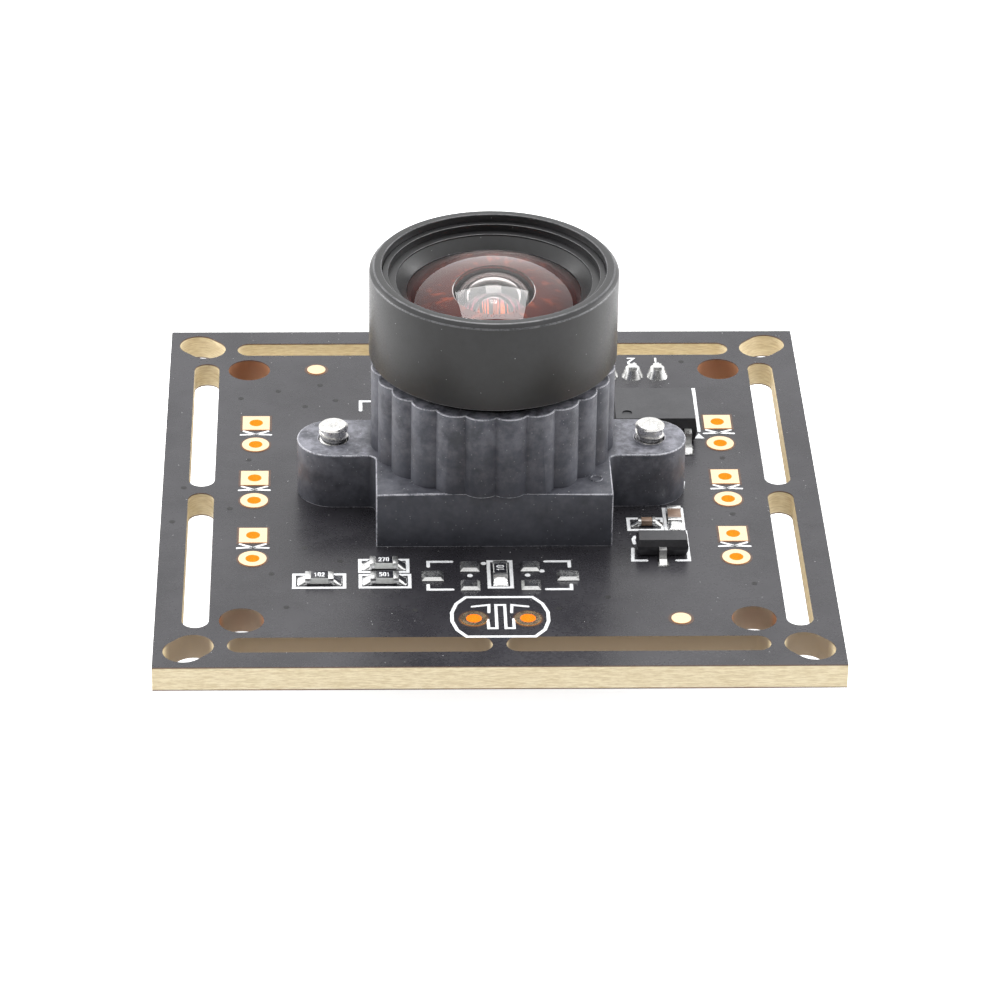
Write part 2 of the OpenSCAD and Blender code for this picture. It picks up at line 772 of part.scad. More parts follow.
module front_ring() {
  step_1 = ring_r - ring_step_1;
  step_2 = step_1 - ring_step_2;
  color(lens_black) rotate_extrude($fn = 128) polygon([
    [front_clear_d / 2, ring_bottom], [ring_r, ring_bottom], [ring_r, ring_top],
    [step_1, ring_top], [step_1, ring_top - ring_step_h],
    [step_2, ring_top - ring_step_h], [step_2, ring_top - ring_step_h - ring_wall_h],
    [front_clear_d / 2, ring_bottom + ring_edge_t]
  ]);
}

module front_element() {
  color(glass_tint) translate([0, 0, shoulder]) difference() {
    crowned_disc(front_r, front_rim_t, front_clear_d / 2, front_curve);
    translate([0, 0, -sqrt(pow(front_hollow, 2) - pow(front_hollow_d / 2, 2))])
      sphere(front_hollow, $fn = 96);
  }
}

module front_spacer() {
  color(lens_black) translate([0, 0, middle_top]) difference() {
    cylinder(r = cell_r, h = front_spacer_h);
    translate([0, 0, -eps]) cylinder(r1 = middle_crown_d / 2 + cell_gap,
      r2 = front_hollow_d / 2 + cell_gap, h = front_spacer_h + 2 * eps);
  }
}

module middle_element() {
  color(glass_tint) translate([0, 0, middle_bottom])
    crowned_disc(cell_r, middle_rim_t, middle_crown_d / 2, middle_curve);
}

module stop_spacer() {
  color(lens_black) translate([0, 0, stop_top]) spacer(middle_bottom - stop_top);
}

module aperture_stop() {
  color(lens_black) translate([0, 0, stop_bottom]) difference() {
    cylinder(r = cell_r, h = stop_t);
    translate([0, 0, -1]) cylinder(d = stop_d, h = stop_t + 2);
  }
}

module rear_spacer() {
  color(lens_black) translate([0, 0, rear_top]) spacer(rear_spacer_h);
}

module rear_element() {
  color(glass_tint) translate([0, 0, rear_bottom])
    crowned_disc(cell_r, rear_rim_t, rear_crown_d / 2, rear_curve);
}

// ---- image sensor ----

module infrared_filter() {
  color([0.75, 0.45, 0.5, 0.5]) translate([0, 0, floor_bottom]) block([filter_w, filter_w], filter_t);
}

module image_sensor() {
  color([0.3, 0.25, 0.2]) translate([0, 0, board_t]) difference() {
    block([sensor_w, sensor_w], sensor_h);
    translate([0, 0, sensor_floor_t]) block(pocket_size, sensor_h);
  }
}

module sensor_die() {
  color([0.25, 0.35, 0.4]) translate([0, 0, board_t + sensor_floor_t]) block(die_size, die_t);
}

module sensor_glass() {
  color([0.8, 0.9, 0.95, 0.4]) translate([0, 0, sensor_top]) block(glass_size, sensor_glass_t);
}

// ---- connector ----

module connector_housing() {
  inner = [housing_w - 2 * housing_wall, housing_d - 2 * housing_wall];
  color("ivory") translate([connector_pos.x, connector_pos.y, 0]) under_board() difference() {
    block([housing_w, housing_d], housing_h);
    translate([0, 0, housing_floor_t]) block(inner, housing_h);
    for (s = signs) translate([s * key_slot_out, housing_d / 2, housing_floor_t])
      block([key_slot_w, 3 * housing_wall], housing_h);
    for (x = pin_xs) translate([x - connector_pos.x, 0, -1])
      block([pin_w + 2 * pin_gap, pin_w + 2 * pin_gap], housing_floor_t + 2);
  }
}

module connector_pins() {
  pin_drop = housing_h - pin_sink;
  color(tin) for (x = pin_xs) translate([x, connector_pos.y, -pin_drop])
    block([pin_w, pin_w], pin_drop + board_t + pin_tail);
}

module pin_solder() {
  color(tin) for (x = pin_xs) translate([x, connector_pos.y, board_t]) difference() {
    cylinder(d1 = pin_joint_d, d2 = pin_joint_tip_d, h = pin_joint_h);
    translate([0, 0, -eps]) block([pin_w, pin_w], pin_tail);
  }
}

// ---- underside parts ----

module controller_chip() {
  color(package_black) translate([controller_pos.x, controller_pos.y, 0]) under_board() {
    block([controller_w - 2 * controller_land_in, controller_w - 2 * controller_land_in], land_t);
    translate([0, 0, land_t]) block([controller_w, controller_w], controller_h - land_t);
  }
}

module crystal() {
  color("silver") translate([crystal_pos.x, crystal_pos.y, 0]) under_board() {
    block([crystal_size.x, crystal_size.y], crystal_base_h);
    block([crystal_size.x - 2 * crystal_brim, crystal_size.y - 2 * crystal_brim], crystal_size.z);
  }
}

module regulator() {
  color(package_black) translate([regulator_pos.x, regulator_pos.y, 0]) under_board()
    package(regulator_size);
}

module regulator_leads() {
  places = [[0, -1], [0, 1], [180, -1], [180, 0], [180, 1]];
  color(tin) translate([regulator_pos.x, regulator_pos.y, 0]) under_board() for (p = places)
    rotate(p[0]) translate([p[1] * regulator_pitch, 0, 0]) {
      bent_lead(regulator_size.y / 2, regulator_span / 2, standoff + regulator_size.z / 2);
      lead_joint(regulator_size.y / 2, regulator_span / 2);
    }
}

module bypass_capacitors() {
  color([0.5, 0.42, 0.34]) under_board() at_bypass() rotate(90) chip(chip_small);
}

module bypass_solder() {
  color(tin) under_board() at_bypass() rotate(90) chip_joints(chip_small);
}

circuit_board();
lamp_pads();
light_sensor_pads();
fiducials();
empty_pads();
left_resistor();
upper_resistor();
lower_resistor();
centre_resistor();
small_capacitor();
large_capacitor();
chip_solder();
transistor();
transistor_leads();
memory_chip();
memory_leads();
lead_solder();
lens_mount();
ear_screws();
lens_barrel();
front_ring();
front_element();
front_spacer();
middle_element();
stop_spacer();
aperture_stop();
rear_spacer();
rear_element();
infrared_filter();
image_sensor();
sensor_die();
sensor_glass();
connector_housing();
connector_pins();
pin_solder();
controller_chip();
crystal();
regulator();
regulator_leads();
bypass_capacitors();
bypass_solder();
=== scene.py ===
"""Dresses the board camera: finishes for every piece, print, solder, threads and glass."""
import math

import bmesh
import bpy
from mathutils import Matrix, Vector


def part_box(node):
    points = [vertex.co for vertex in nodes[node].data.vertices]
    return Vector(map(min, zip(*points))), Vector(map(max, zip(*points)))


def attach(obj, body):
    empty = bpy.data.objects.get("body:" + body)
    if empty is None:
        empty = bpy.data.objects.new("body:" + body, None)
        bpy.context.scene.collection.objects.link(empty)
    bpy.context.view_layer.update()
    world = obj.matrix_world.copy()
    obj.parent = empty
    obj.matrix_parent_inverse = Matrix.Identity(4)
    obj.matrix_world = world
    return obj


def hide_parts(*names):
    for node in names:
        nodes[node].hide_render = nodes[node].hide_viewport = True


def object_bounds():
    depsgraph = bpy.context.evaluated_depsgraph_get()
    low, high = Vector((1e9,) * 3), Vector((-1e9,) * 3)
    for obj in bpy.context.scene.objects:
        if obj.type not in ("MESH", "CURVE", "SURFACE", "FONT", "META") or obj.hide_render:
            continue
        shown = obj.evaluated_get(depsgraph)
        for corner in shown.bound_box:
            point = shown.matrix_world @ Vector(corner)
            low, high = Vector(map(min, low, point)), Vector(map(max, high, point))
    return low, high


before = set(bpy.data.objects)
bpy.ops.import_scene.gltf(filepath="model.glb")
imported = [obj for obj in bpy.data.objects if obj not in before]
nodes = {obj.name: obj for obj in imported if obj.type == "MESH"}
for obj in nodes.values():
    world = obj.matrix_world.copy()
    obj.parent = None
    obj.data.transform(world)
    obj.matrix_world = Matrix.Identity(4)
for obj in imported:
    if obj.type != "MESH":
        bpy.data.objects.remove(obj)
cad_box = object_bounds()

MM = 0.001
scene = bpy.context.scene


def extent(node):
    """Lowest and highest corner of a CAD node, in millimetres."""
    lo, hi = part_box(node)
    return Vector(lo) / MM, Vector(hi) / MM


BOARD_LO, BOARD_HI = extent("circuit_board")
BARREL_LO, BARREL_HI = extent("lens_barrel")
SCREW_LO, SCREW_HI = extent("ear_screws")
GLASS_LO, GLASS_HI = extent("front_element")
RING_LO, RING_HI = extent("front_ring")
CELL_LO, CELL_HI = extent("middle_element")
BOARD_TOP = BOARD_HI.z
MOUNT_TOP = extent("lens_mount")[1].z
REAR_BOTTOM = extent("rear_element")[0].z
SCREW_TIP = 0.9
FOOT_TOP = SCREW_HI.z - SCREW_TIP


# ---------------------------------------------------------------- shapes

class Shape:
    """Gathers faces in millimetres and becomes one finished piece."""

    def __init__(self):
        self.verts, self.faces, self.slots = [], [], []

    def add(self, verts, faces, slot=0, place=None):
        start = len(self.verts)
        self.verts += [tuple(place @ Vector(v)) if place else tuple(v) for v in verts]
        self.faces += [[start + i for i in f] for f in faces]
        self.slots += [slot] * len(faces)
        return self

    def sheet(self, rows, slot=0, loop=False, ring=False, place=None):
        """Joins rows of points; loop closes each row and ring joins the last row to the first."""
        n, m = len(rows), len(rows[0])
        faces = []
        for i in range(n if ring else n - 1):
            for j in range(m if loop else m - 1):
                a, b = i * m + j, i * m + (j + 1) % m
                c, d = ((i + 1) % n) * m + (j + 1) % m, ((i + 1) % n) * m + j
                faces.append([a, b, c, d])
        return self.add([p for row in rows for p in row], faces, slot, place)

    def revolve(self, profile, steps=96, slot=0, centre=(0, 0), closed=True):
        """Turns a profile of (radius, height) points about an upright line."""
        rows = []
        for r, z in profile:
            rows.append([
                (centre[0] + r * math.cos(2 * math.pi * k / steps),
                 centre[1] + r * math.sin(2 * math.pi * k / steps), z)
                for k in range(steps)])
        return self.sheet(rows, slot, loop=True, ring=closed)

    def prism(self, outline, low, high, slot=0, place=None):
        n = len(outline)
        verts = [(x, y, low) for x, y in outline] + [(x, y, high) for x, y in outline]
        faces = [[i, (i + 1) % n, n + (i + 1) % n, n + i] for i in range(n)]
        faces += [list(range(n))[::-1], list(range(n, 2 * n))]
        return self.add(verts, faces, slot, place)

    def block(self, lo, hi, slot=0, place=None):
        outline = [(lo[0], lo[1]), (hi[0], lo[1]), (hi[0], hi[1]), (lo[0], hi[1])]
        return self.prism(outline, lo[2], hi[2], slot, place)

    def finish(self, name, body, materials, bevel=0, steps=2, crease=35, replaces=(), edge_slot=-1):
        mesh = bpy.data.meshes.new(name)
        bm = bmesh.new()
        points = [bm.verts.new(Vector(v) * MM) for v in self.verts]
        for f, s in zip(self.faces, self.slots):
            face = bm.faces.new([points[i] for i in f])
            face.material_index = s
        bmesh.ops.remove_doubles(bm, verts=bm.verts, dist=1e-7)
        bmesh.ops.recalc_face_normals(bm, faces=bm.faces)
        soften(bm, bevel, steps, crease, edge_slot)
        bm.to_mesh(mesh)
        bm.free()
        return show(name, mesh, body, materials, replaces)


def soften(bm, bevel, steps, crease, edge_slot=-1, clamp=True):
    """Rounds the sharp edges by bevel millimetres and shades the rest smooth.

    edge_slot is the material slot of the rounded edges, or -1 to keep their faces' own.
    """
    if bevel:
        sharp = [e for e in bm.edges if len(e.link_faces) == 2
                 and e.calc_face_angle_signed() > math.radians(crease)]
        bmesh.ops.bevel(bm, geom=sharp, offset=bevel * MM, segments=steps, profile=0.5,
                        affect="EDGES", clamp_overlap=clamp, material=edge_slot)
    for f in bm.faces:
        f.smooth = True
    for e in bm.edges:
        if len(e.link_faces) == 2:
            e.smooth = e.calc_face_angle() < math.radians(crease)


def show(name, mesh, body, materials, replaces=()):
    for m in materials:
        mesh.materials.append(m)
    obj = bpy.data.objects.new(name, mesh)
    scene.collection.objects.link(obj)
    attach(obj, body)
    if replaces:
        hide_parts(*replaces)
    return obj


def softened(node, name, body, materials, bevel, steps=2, crease=35, edge_slot=-1):
    """A copy of a CAD node with its sharp edges rounded, which stands for that node."""
    bm = bmesh.new()
    bm.from_mesh(nodes[node].data)
    bmesh.ops.remove_doubles(bm, verts=bm.verts, dist=2e-7)
    bmesh.ops.dissolve_limit(bm, angle_limit=math.radians(0.4), verts=bm.verts, edges=bm.edges)
    for f in bm.faces:
        f.material_index = 0
    soften(bm, bevel, steps, crease, edge_slot, clamp=False)
    mesh = bpy.data.meshes.new(name)
    bm.to_mesh(mesh)
    bm.free()
    return show(name, mesh, body, materials, (node,))


def circle(radius, steps=32, centre=(0, 0), start=0):
    """Points round a whole circle, the first of them at start degrees."""
    turns = [math.radians(start + 360 * k / steps) for k in range(steps)]
    return [(centre[0] + radius * math.cos(t), centre[1] + radius * math.sin(t)) for t in turns]


def washer(shape, centre, inner, outer, low, high):
    """A flat ring; inner and outer are outlines round the centre, or radii."""
    a, b = (circle(edge) if isinstance(edge, (int, float)) else edge for edge in (inner, outer))
    at = lambda pts, z: [(centre[0] + x, centre[1] + y, z) for x, y in pts]
    return shape.sheet([at(a, low), at(b, low), at(b, high), at(a, high)], loop=True, ring=True)


def square_outline(half, steps=32):
    """A square with as many points as a circle, so the two can be joined."""
    pts = []
    for x, y in circle(1, steps, start=45):
        k = half / max(abs(x), abs(y))
        pts.append((x * k, y * k))
    return pts


# ---------------------------------------------------------------- finishes

def new_group(name, inputs, outputs):
    tree = bpy.data.node_groups.new(name, "ShaderNodeTree")
    for label, kind, value in inputs:
        s = tree.interface.new_socket(label, in_out="INPUT", socket_type=kind)
        if value is not None:
            s.default_value = value
    for label, kind in outputs:
        tree.interface.new_socket(label, in_out="OUTPUT", socket_type=kind)
    return tree, tree.nodes.new("NodeGroupInput"), tree.nodes.new("NodeGroupOutput")


def place_node(tree, kind, settings=None, **inputs):
    n = tree.nodes.new(kind)
    for key, value in (settings or {}).items():
        setattr(n, key, value)
    for key, value in inputs.items():
        key = key.replace("_", " ")
        socket = n.inputs[int(key[1:])] if key[0] == "i" and key[1:].isdigit() else n.inputs[key]
        if isinstance(value, bpy.types.NodeSocket):
            tree.links.new(value, socket)
        else:
            socket.default_value = value
    return n


def mottle_group():
    """Slow and fine unevenness, from 0 to 1, on a vector in millimetres."""
    tree, gin, gout = new_group("mottle", [
        ("Vector", "NodeSocketVector", None), ("Scale", "NodeSocketFloat", 1.0),
        ("Fine", "NodeSocketFloat", 0.35)], [("Value", "NodeSocketFloat")])
    slow = place_node(tree, "ShaderNodeTexNoise", Vector=gin.outputs["Vector"],
                      Scale=gin.outputs["Scale"], Detail=4.0, Roughness=0.6)
    times = place_node(tree, "ShaderNodeMath", {"operation": "MULTIPLY"}, i0=gin.outputs["Scale"], i1=9.0)
    fine = place_node(tree, "ShaderNodeTexNoise", Vector=gin.outputs["Vector"],
                      Scale=times.outputs[0], Detail=2.0)
    mix = place_node(tree, "ShaderNodeMix", {"data_type": "FLOAT"}, i0=gin.outputs["Fine"],
                     i2=slow.outputs["Fac"], i3=fine.outputs["Fac"])
    tree.links.new(mix.outputs[0], gout.inputs["Value"])
    return tree


def specks_group():
    """Small separate specks: 1 on a speck and 0 between."""
    tree, gin, gout = new_group("specks", [
        ("Vector", "NodeSocketVector", None), ("Scale", "NodeSocketFloat", 4.0),
        ("Size", "NodeSocketFloat", 0.12), ("Share", "NodeSocketFloat", 0.3)],
        [("Mask", "NodeSocketFloat")])
    cells = place_node(tree, "ShaderNodeTexVoronoi", Vector=gin.outputs["Vector"],
                       Scale=gin.outputs["Scale"])
    small = place_node(tree, "ShaderNodeMath", {"operation": "LESS_THAN"},
                       i0=cells.outputs["Distance"], i1=gin.outputs["Size"])
    split = place_node(tree, "ShaderNodeSeparateColor", Color=cells.outputs["Color"])
    some = place_node(tree, "ShaderNodeMath", {"operation": "LESS_THAN"},
                      i0=split.outputs[0], i1=gin.outputs["Share"])
    both = place_node(tree, "ShaderNodeMath", {"operation": "MULTIPLY"},
                      i0=small.outputs[0], i1=some.outputs[0])
    tree.links.new(both.outputs[0], gout.inputs["Mask"])
    return tree


def dust_group():
    """A film of dust that lies thicker on faces that look up."""
    tree, gin, gout = new_group("dust", [
        ("Vector", "NodeSocketVector", None), ("Normal", "NodeSocketVector", None),
        ("Scale", "NodeSocketFloat", 0.6), ("Amount", "NodeSocketFloat", 0.5),
        ("Sides", "NodeSocketFloat", 0.3)], [("Mask", "NodeSocketFloat")])
    split = place_node(tree, "ShaderNodeSeparateXYZ", Vector=gin.outputs["Normal"])
    up = place_node(tree, "ShaderNodeMapRange", Value=split.outputs["Z"], From_Min=0.0, From_Max=1.0,
                    To_Min=gin.outputs["Sides"], To_Max=1.0)
    film = place_node(tree, "ShaderNodeTexNoise", Vector=gin.outputs["Vector"],
                      Scale=gin.outputs["Scale"], Detail=8.0, Roughness=0.72)
    edge = place_node(tree, "ShaderNodeMapRange", {"interpolation_type": "SMOOTHSTEP"},
                      Value=film.outputs["Fac"], From_Min=0.36, From_Max=0.68)
    a = place_node(tree, "ShaderNodeMath", {"operation": "MULTIPLY"}, i0=up.outputs[0], i1=edge.outputs[0])
    b = place_node(tree, "ShaderNodeMath", {"operation": "MULTIPLY"}, i0=a.outputs[0], i1=gin.outputs["Amount"])
    tree.links.new(b.outputs[0], gout.inputs["Mask"])
    return tree


MOTTLE, SPECKS, DUST = mottle_group(), specks_group(), dust_group()


class Finish:
    """A material with its Principled shader and the coordinates that patterns read."""

    def __init__(self, name, color, roughness, **sockets):
        self.material = bpy.data.materials.new(name)
        self.material.use_nodes = True
        self.tree = self.material.node_tree
        self.shader = self.tree.nodes["Principled BSDF"]
        self.shader.inputs["Base Color"].default_value = (*color, 1)
        self.shader.inputs["Roughness"].default_value = roughness
        for key, value in sockets.items():
            self.shader.inputs[key.replace("_", " ")].default_value = value
        coords = self.node("ShaderNodeTexCoord")
        self.normal = coords.outputs["Normal"]
        self.object = coords.outputs["Object"]
        self.mm = self.node("ShaderNodeVectorMath", {"operation": "SCALE"},
                            i0=coords.outputs["Object"], Scale=1 / MM).outputs[0]

    def node(self, kind, settings=None, **inputs):
        return place_node(self.tree, kind, settings, **inputs)

    def group(self, tree, **inputs):
        n = self.tree.nodes.new("ShaderNodeGroup")
        n.node_tree = tree
        self.tree.links.new(self.mm, n.inputs["Vector"])
        for key, value in inputs.items():
            if isinstance(value, bpy.types.NodeSocket):
                self.tree.links.new(value, n.inputs[key])
            else:
                n.inputs[key].default_value = value
        return n.outputs[0]

    def math(self, operation, a, b=0.0):
        return self.node("ShaderNodeMath", {"operation": operation}, i0=a, i1=b).outputs[0]

    def split(self, vector):
        return self.node("ShaderNodeSeparateXYZ", Vector=vector).outputs

    def distance(self, a, b):
        """Length of the flat vector (a, b)."""
        return self.math("SQRT", self.math("ADD", self.math("MULTIPLY", a, a), self.math("MULTIPLY", b, b)))

    def mix(self, mask, a, b):
        n = self.tree.nodes.new("ShaderNodeMix")
        n.data_type = "RGBA"
        for socket, value in ((n.inputs[0], mask), (n.inputs[6], a), (n.inputs[7], b)):
            if isinstance(value, bpy.types.NodeSocket):
                self.tree.links.new(value, socket)
            elif isinstance(value, (int, float)):
                socket.default_value = value
            else:
                socket.default_value = (*value, 1)
        return n.outputs[2]

    def span(self, value, low, high, to_low=0.0, to_high=1.0):
        """Carries low..high over to to_low..to_high, with soft ends."""
        return self.node("ShaderNodeMapRange", {"interpolation_type": "SMOOTHSTEP"}, Value=value,
                         From_Min=low, From_Max=high, To_Min=to_low, To_Max=to_high).outputs[0]

    def set(self, socket, value):
        self.tree.links.new(value, self.shader.inputs[socket])
        return self

    def bump(self, height, depth, strength=1.0):
        """depth is the height of the pattern, in millimetres."""
        b = self.node("ShaderNodeBump", Strength=strength, Distance=depth * MM, Height=height)
        return self.set("Normal", b.outputs["Normal"])


def plain_finish(name, dark, light, roughness, scale=1.0, fine=0.35, rough_var=0.08, bump=0.003,
                 bump_scale=12.0, **sockets):
    """A finish whose colour, gloss and surface vary a little."""
    f = Finish(name, dark, roughness, **sockets)
    m = f.group(MOTTLE, Scale=scale, Fine=fine)
    f.set("Base Color", f.mix(f.span(m, 0.3, 0.7), dark, light))
    f.set("Roughness", f.span(f.group(MOTTLE, Scale=scale * 2.3, Fine=0.5), 0.3, 0.7,
                              roughness - rough_var, roughness + rough_var))
    if bump:
        f.bump(f.group(MOTTLE, Scale=bump_scale, Fine=0.5), bump)
    return f


# inner holes of the board, whose walls are painted darker than the routed edges: painted shade, as less light passes
# through the board there
HOLE_AT, HOLE_R = 14.2, 1.25


def board_finish():
    f = Finish("board_mask", (0.03, 0.03, 0.035), 0.3)
    x, y, z = f.split(f.mm)
    face = f.span(f.math("ABSOLUTE", f.split(f.normal)["Z"]), 0.5, 0.8)
    # glass and resin of the cut walls, in layers
    stretch = f.node("ShaderNodeVectorMath", {"operation": "MULTIPLY"},
                     i0=f.mm, i1=(1.1, 1.1, 9.0)).outputs[0]
    fibre = f.node("ShaderNodeTexNoise", Vector=stretch, Scale=1.6, Detail=5.0, Roughness=0.65).outputs["Fac"]
    resin = f.mix(f.span(fibre, 0.3, 0.7), (0.62, 0.50, 0.30), (0.84, 0.74, 0.52))
    hx = f.math("SUBTRACT", f.math("ABSOLUTE", x), HOLE_AT)
    hy = f.math("SUBTRACT", f.math("ABSOLUTE", y), HOLE_AT)
    # painted shade: the walls of the inner holes take a darker orange-brown
    shaded_hole_wall = f.span(f.distance(hx, hy), HOLE_R + 0.04, HOLE_R + 0.3, 1.0, 0.0)
    resin = f.mix(shaded_hole_wall, resin, (0.33, 0.15, 0.07))
    from_middle = f.math("ABSOLUTE", f.math("SUBTRACT", z, BOARD_TOP / 2))
    skin = f.span(from_middle, BOARD_TOP / 2 - 0.09, BOARD_TOP / 2 - 0.05)
    resin = f.mix(skin, resin, (0.13, 0.07, 0.045))
    # mask over copper: the ground plane is a shade lighter than the bare strips
    slow = f.group(MOTTLE, Scale=0.12, Fine=0.15)
    mask = f.mix(f.span(slow, 0.35, 0.65), (0.020, 0.019, 0.023), (0.034, 0.033, 0.038))
    specks = f.group(SPECKS, Scale=1.7, Size=0.05, Share=0.25)
    mask = f.mix(f.math("MULTIPLY", specks, 0.6), mask, (0.5, 0.5, 0.5))
    # the slot walls that face the front are painted darker, as painted shade inside the slots, but not the board's own
    # front edge
    shaded_slot_wall = f.math("MULTIPLY", f.span(f.split(f.normal)["Y"], -0.7, -0.3, 1.0, 0.0),
                          f.span(y, BOARD_LO.y + 0.3, BOARD_LO.y + 0.6))
    resin = f.mix(f.math("MULTIPLY", shaded_slot_wall, f.span(y, -10.0, -14.0)), resin, (0.26, 0.20, 0.14))
    f.set("Base Color", f.mix(face, resin, mask))
    gloss = f.span(f.group(MOTTLE, Scale=0.5, Fine=0.4), 0.3, 0.7, 0.22, 0.34)
    f.set("Roughness", f.math("ADD", gloss, f.math("MULTIPLY", f.math("SUBTRACT", 1.0, face), 0.35)))
    f.bump(f.group(MOTTLE, Scale=3.0, Fine=0.5), 0.006, 0.6)
    return f.material


def mount_finish():
    f = Finish("mount_plastic", (0.1, 0.105, 0.125), 0.5)
    slow = f.group(MOTTLE, Scale=0.35, Fine=0.25)
    base = f.mix(f.span(slow, 0.3, 0.7), (0.036, 0.038, 0.048), (0.062, 0.065, 0.081))
    x, y, z = f.split(f.mm)
    dust = f.group(DUST, Normal=f.normal, Scale=0.8, Amount=0.75, Sides=0.25)
    # the dust is thinned on the foot beneath the head, so the foot stays darker there: painted shade from the head and
    # collar
    outside_head_shade = f.math("MAXIMUM", f.span(z, FOOT_TOP + 0.1, FOOT_TOP + 1.2, 0.3, 1.0),
                      f.span(f.math("ABSOLUTE", x), 6.8, 7.3))
    base = f.mix(f.math("MULTIPLY", dust, outside_head_shade), base, (0.30, 0.30, 0.345))
    specks = f.group(SPECKS, Scale=5.0, Size=0.16, Share=0.2)
    base = f.mix(f.math("MULTIPLY", specks, 0.25), base, (0.55, 0.55, 0.58))
    f.set("Base Color", base)
    f.set("Roughness", f.span(slow, 0.3, 0.7, 0.42, 0.62))
    f.bump(f.group(MOTTLE, Scale=5.0, Fine=0.5), 0.012, 0.7)
    return f.material


def edge_wear_and_highlight_finish(name, dull, bright, rough):
    """The rounded edges of moulded plastic, rubbed pale in places and paler all along as a painted highlight."""
    f = Finish(name, dull, rough)
    rub_and_highlight = f.span(f.group(MOTTLE, Scale=1.1, Fine=0.45), 0.36, 0.6)
    f.set("Base Color", f.mix(rub_and_highlight, dull, bright))
    f.bump(f.group(MOTTLE, Scale=7.0, Fine=0.5), 0.006, 0.6)
    return f.material


def lens_finish(name="lens_black", tone=0.015, rough=0.34):
    f = Finish(name, (tone, tone, tone * 1.1), rough)
    grain = f.node("ShaderNodeTexNoise", Vector=f.mm, Scale=14.0, Detail=3.0).outputs["Fac"]
    slow = f.group(MOTTLE, Scale=0.4, Fine=0.2)
    base = f.mix(f.span(slow, 0.3, 0.7), (tone * 0.8,) * 3, (tone * 1.25, tone * 1.25, tone * 1.35))
    specks = f.group(SPECKS, Scale=3.2, Size=0.07, Share=0.2)
    base = f.mix(f.math("MULTIPLY", specks, 0.5), base, (0.6, 0.6, 0.6))
    f.set("Base Color", base)
    f.set("Roughness", f.span(grain, 0.3, 0.7, rough - 0.06, rough + 0.08))
    f.bump(grain, 0.004, 0.5)
    return f.material


def solder_finish(name="solder", tone=(0.80, 0.80, 0.79), rough=0.2):
    f = Finish(name, tone, rough, Metallic=1.0)
    wave = f.group(MOTTLE, Scale=1.6, Fine=0.3)
    dull = f.span(f.group(MOTTLE, Scale=0.9, Fine=0.5), 0.45, 0.7)
    f.set("Base Color", f.mix(dull, tone, tuple(c * 0.72 for c in tone)))
    f.set("Roughness", f.span(wave, 0.3, 0.7, rough - 0.08, rough + 0.16))
    f.bump(wave, 0.03, 0.5)
    return f.material


def gold_finish():
    """Gold plate; the walls of the holes are painted a deeper orange and given an emission, a painted glow standing for
    light bounced inside the holes.
    """
    f = Finish("gold", (0.96, 0.76, 0.5), 0.24, Metallic=1.0)
    slow = f.group(MOTTLE, Scale=1.2, Fine=0.4)
    hole_wall_glow = f.span(f.math("ABSOLUTE", f.split(f.normal)["Z"]), 0.2, 0.6, 1.0, 0.0)
    plate = f.mix(f.span(slow, 0.35, 0.7), (0.97, 0.76, 0.52), (0.92, 0.68, 0.42))
    f.set("Base Color", f.mix(hole_wall_glow, plate, (1.0, 0.56, 0.16)))
    f.set("Emission Color", f.mix(hole_wall_glow, (0.0, 0.0, 0.0), (0.8, 0.28, 0.03)))
    f.shader.inputs["Emission Strength"].default_value = 0.55
    f.set("Roughness", f.span(slow, 0.3, 0.7, 0.2, 0.34))
    f.bump(f.group(MOTTLE, Scale=6.0, Fine=0.5), 0.004, 0.6)
    return f.material


def glass_finish(name, tint, level=0.5):
    """Clear glass with a faint smear; level is how strongly it mirrors."""
    f = Finish(name, tint, 0.0, Transmission_Weight=1.0, IOR=1.5, Specular_IOR_Level=level)
    smear = f.group(MOTTLE, Scale=0.7, Fine=0.3)
    f.set("Base Color", f.mix(f.span(smear, 0.3, 0.8), tint, tuple(c * 0.93 for c in tint)))
    return f.material


def dome_finish():
    """A small coated dome: a mirror at its rim, and orange-red stripes within, which are painted reflections that also
    emit a painted glow.
    """
    f = Finish("coated_dome", (0.1, 0.02, 0.01), 0.05, Specular_IOR_Level=0.8)
    x, y, z = f.split(f.mm)
    facing = f.node("ShaderNodeLayerWeight", Blend=0.5).outputs["Facing"]
    mirror = f.span(facing, 0.36, 0.5)
    across = f.node("ShaderNodeCombineXYZ", X=f.math("MULTIPLY", x, 2.6),
                    Y=f.math("MULTIPLY", y, 0.15)).outputs[0]
    painted_reflection_stripes = f.node("ShaderNodeTexNoise", Vector=across, Scale=2.6, Detail=2.0, Roughness=0.55).outputs["Fac"]
    glow = f.math("MULTIPLY", f.span(painted_reflection_stripes, 0.45, 0.56), f.span(f.math("ABSOLUTE", x), 0.12, 0.4, 0.35, 1.0))
    tone = f.mix(f.span(y, -0.9, 0.1), (0.85, 0.16, 0.02), (0.30, 0.05, 0.10))
    painted_reflection_stripes = f.mix(glow, (0.02, 0.006, 0.008), tone)
    f.set("Base Color", f.mix(mirror, painted_reflection_stripes, (0.96, 0.95, 0.98)))
    f.set("Metallic", mirror)
    # painted glow: the painted reflection stripes emit light
    f.set("Emission Color", f.mix(mirror, painted_reflection_stripes, (0.0, 0.0, 0.0)))
    f.shader.inputs["Emission Strength"].default_value = 0.5
    return f.material


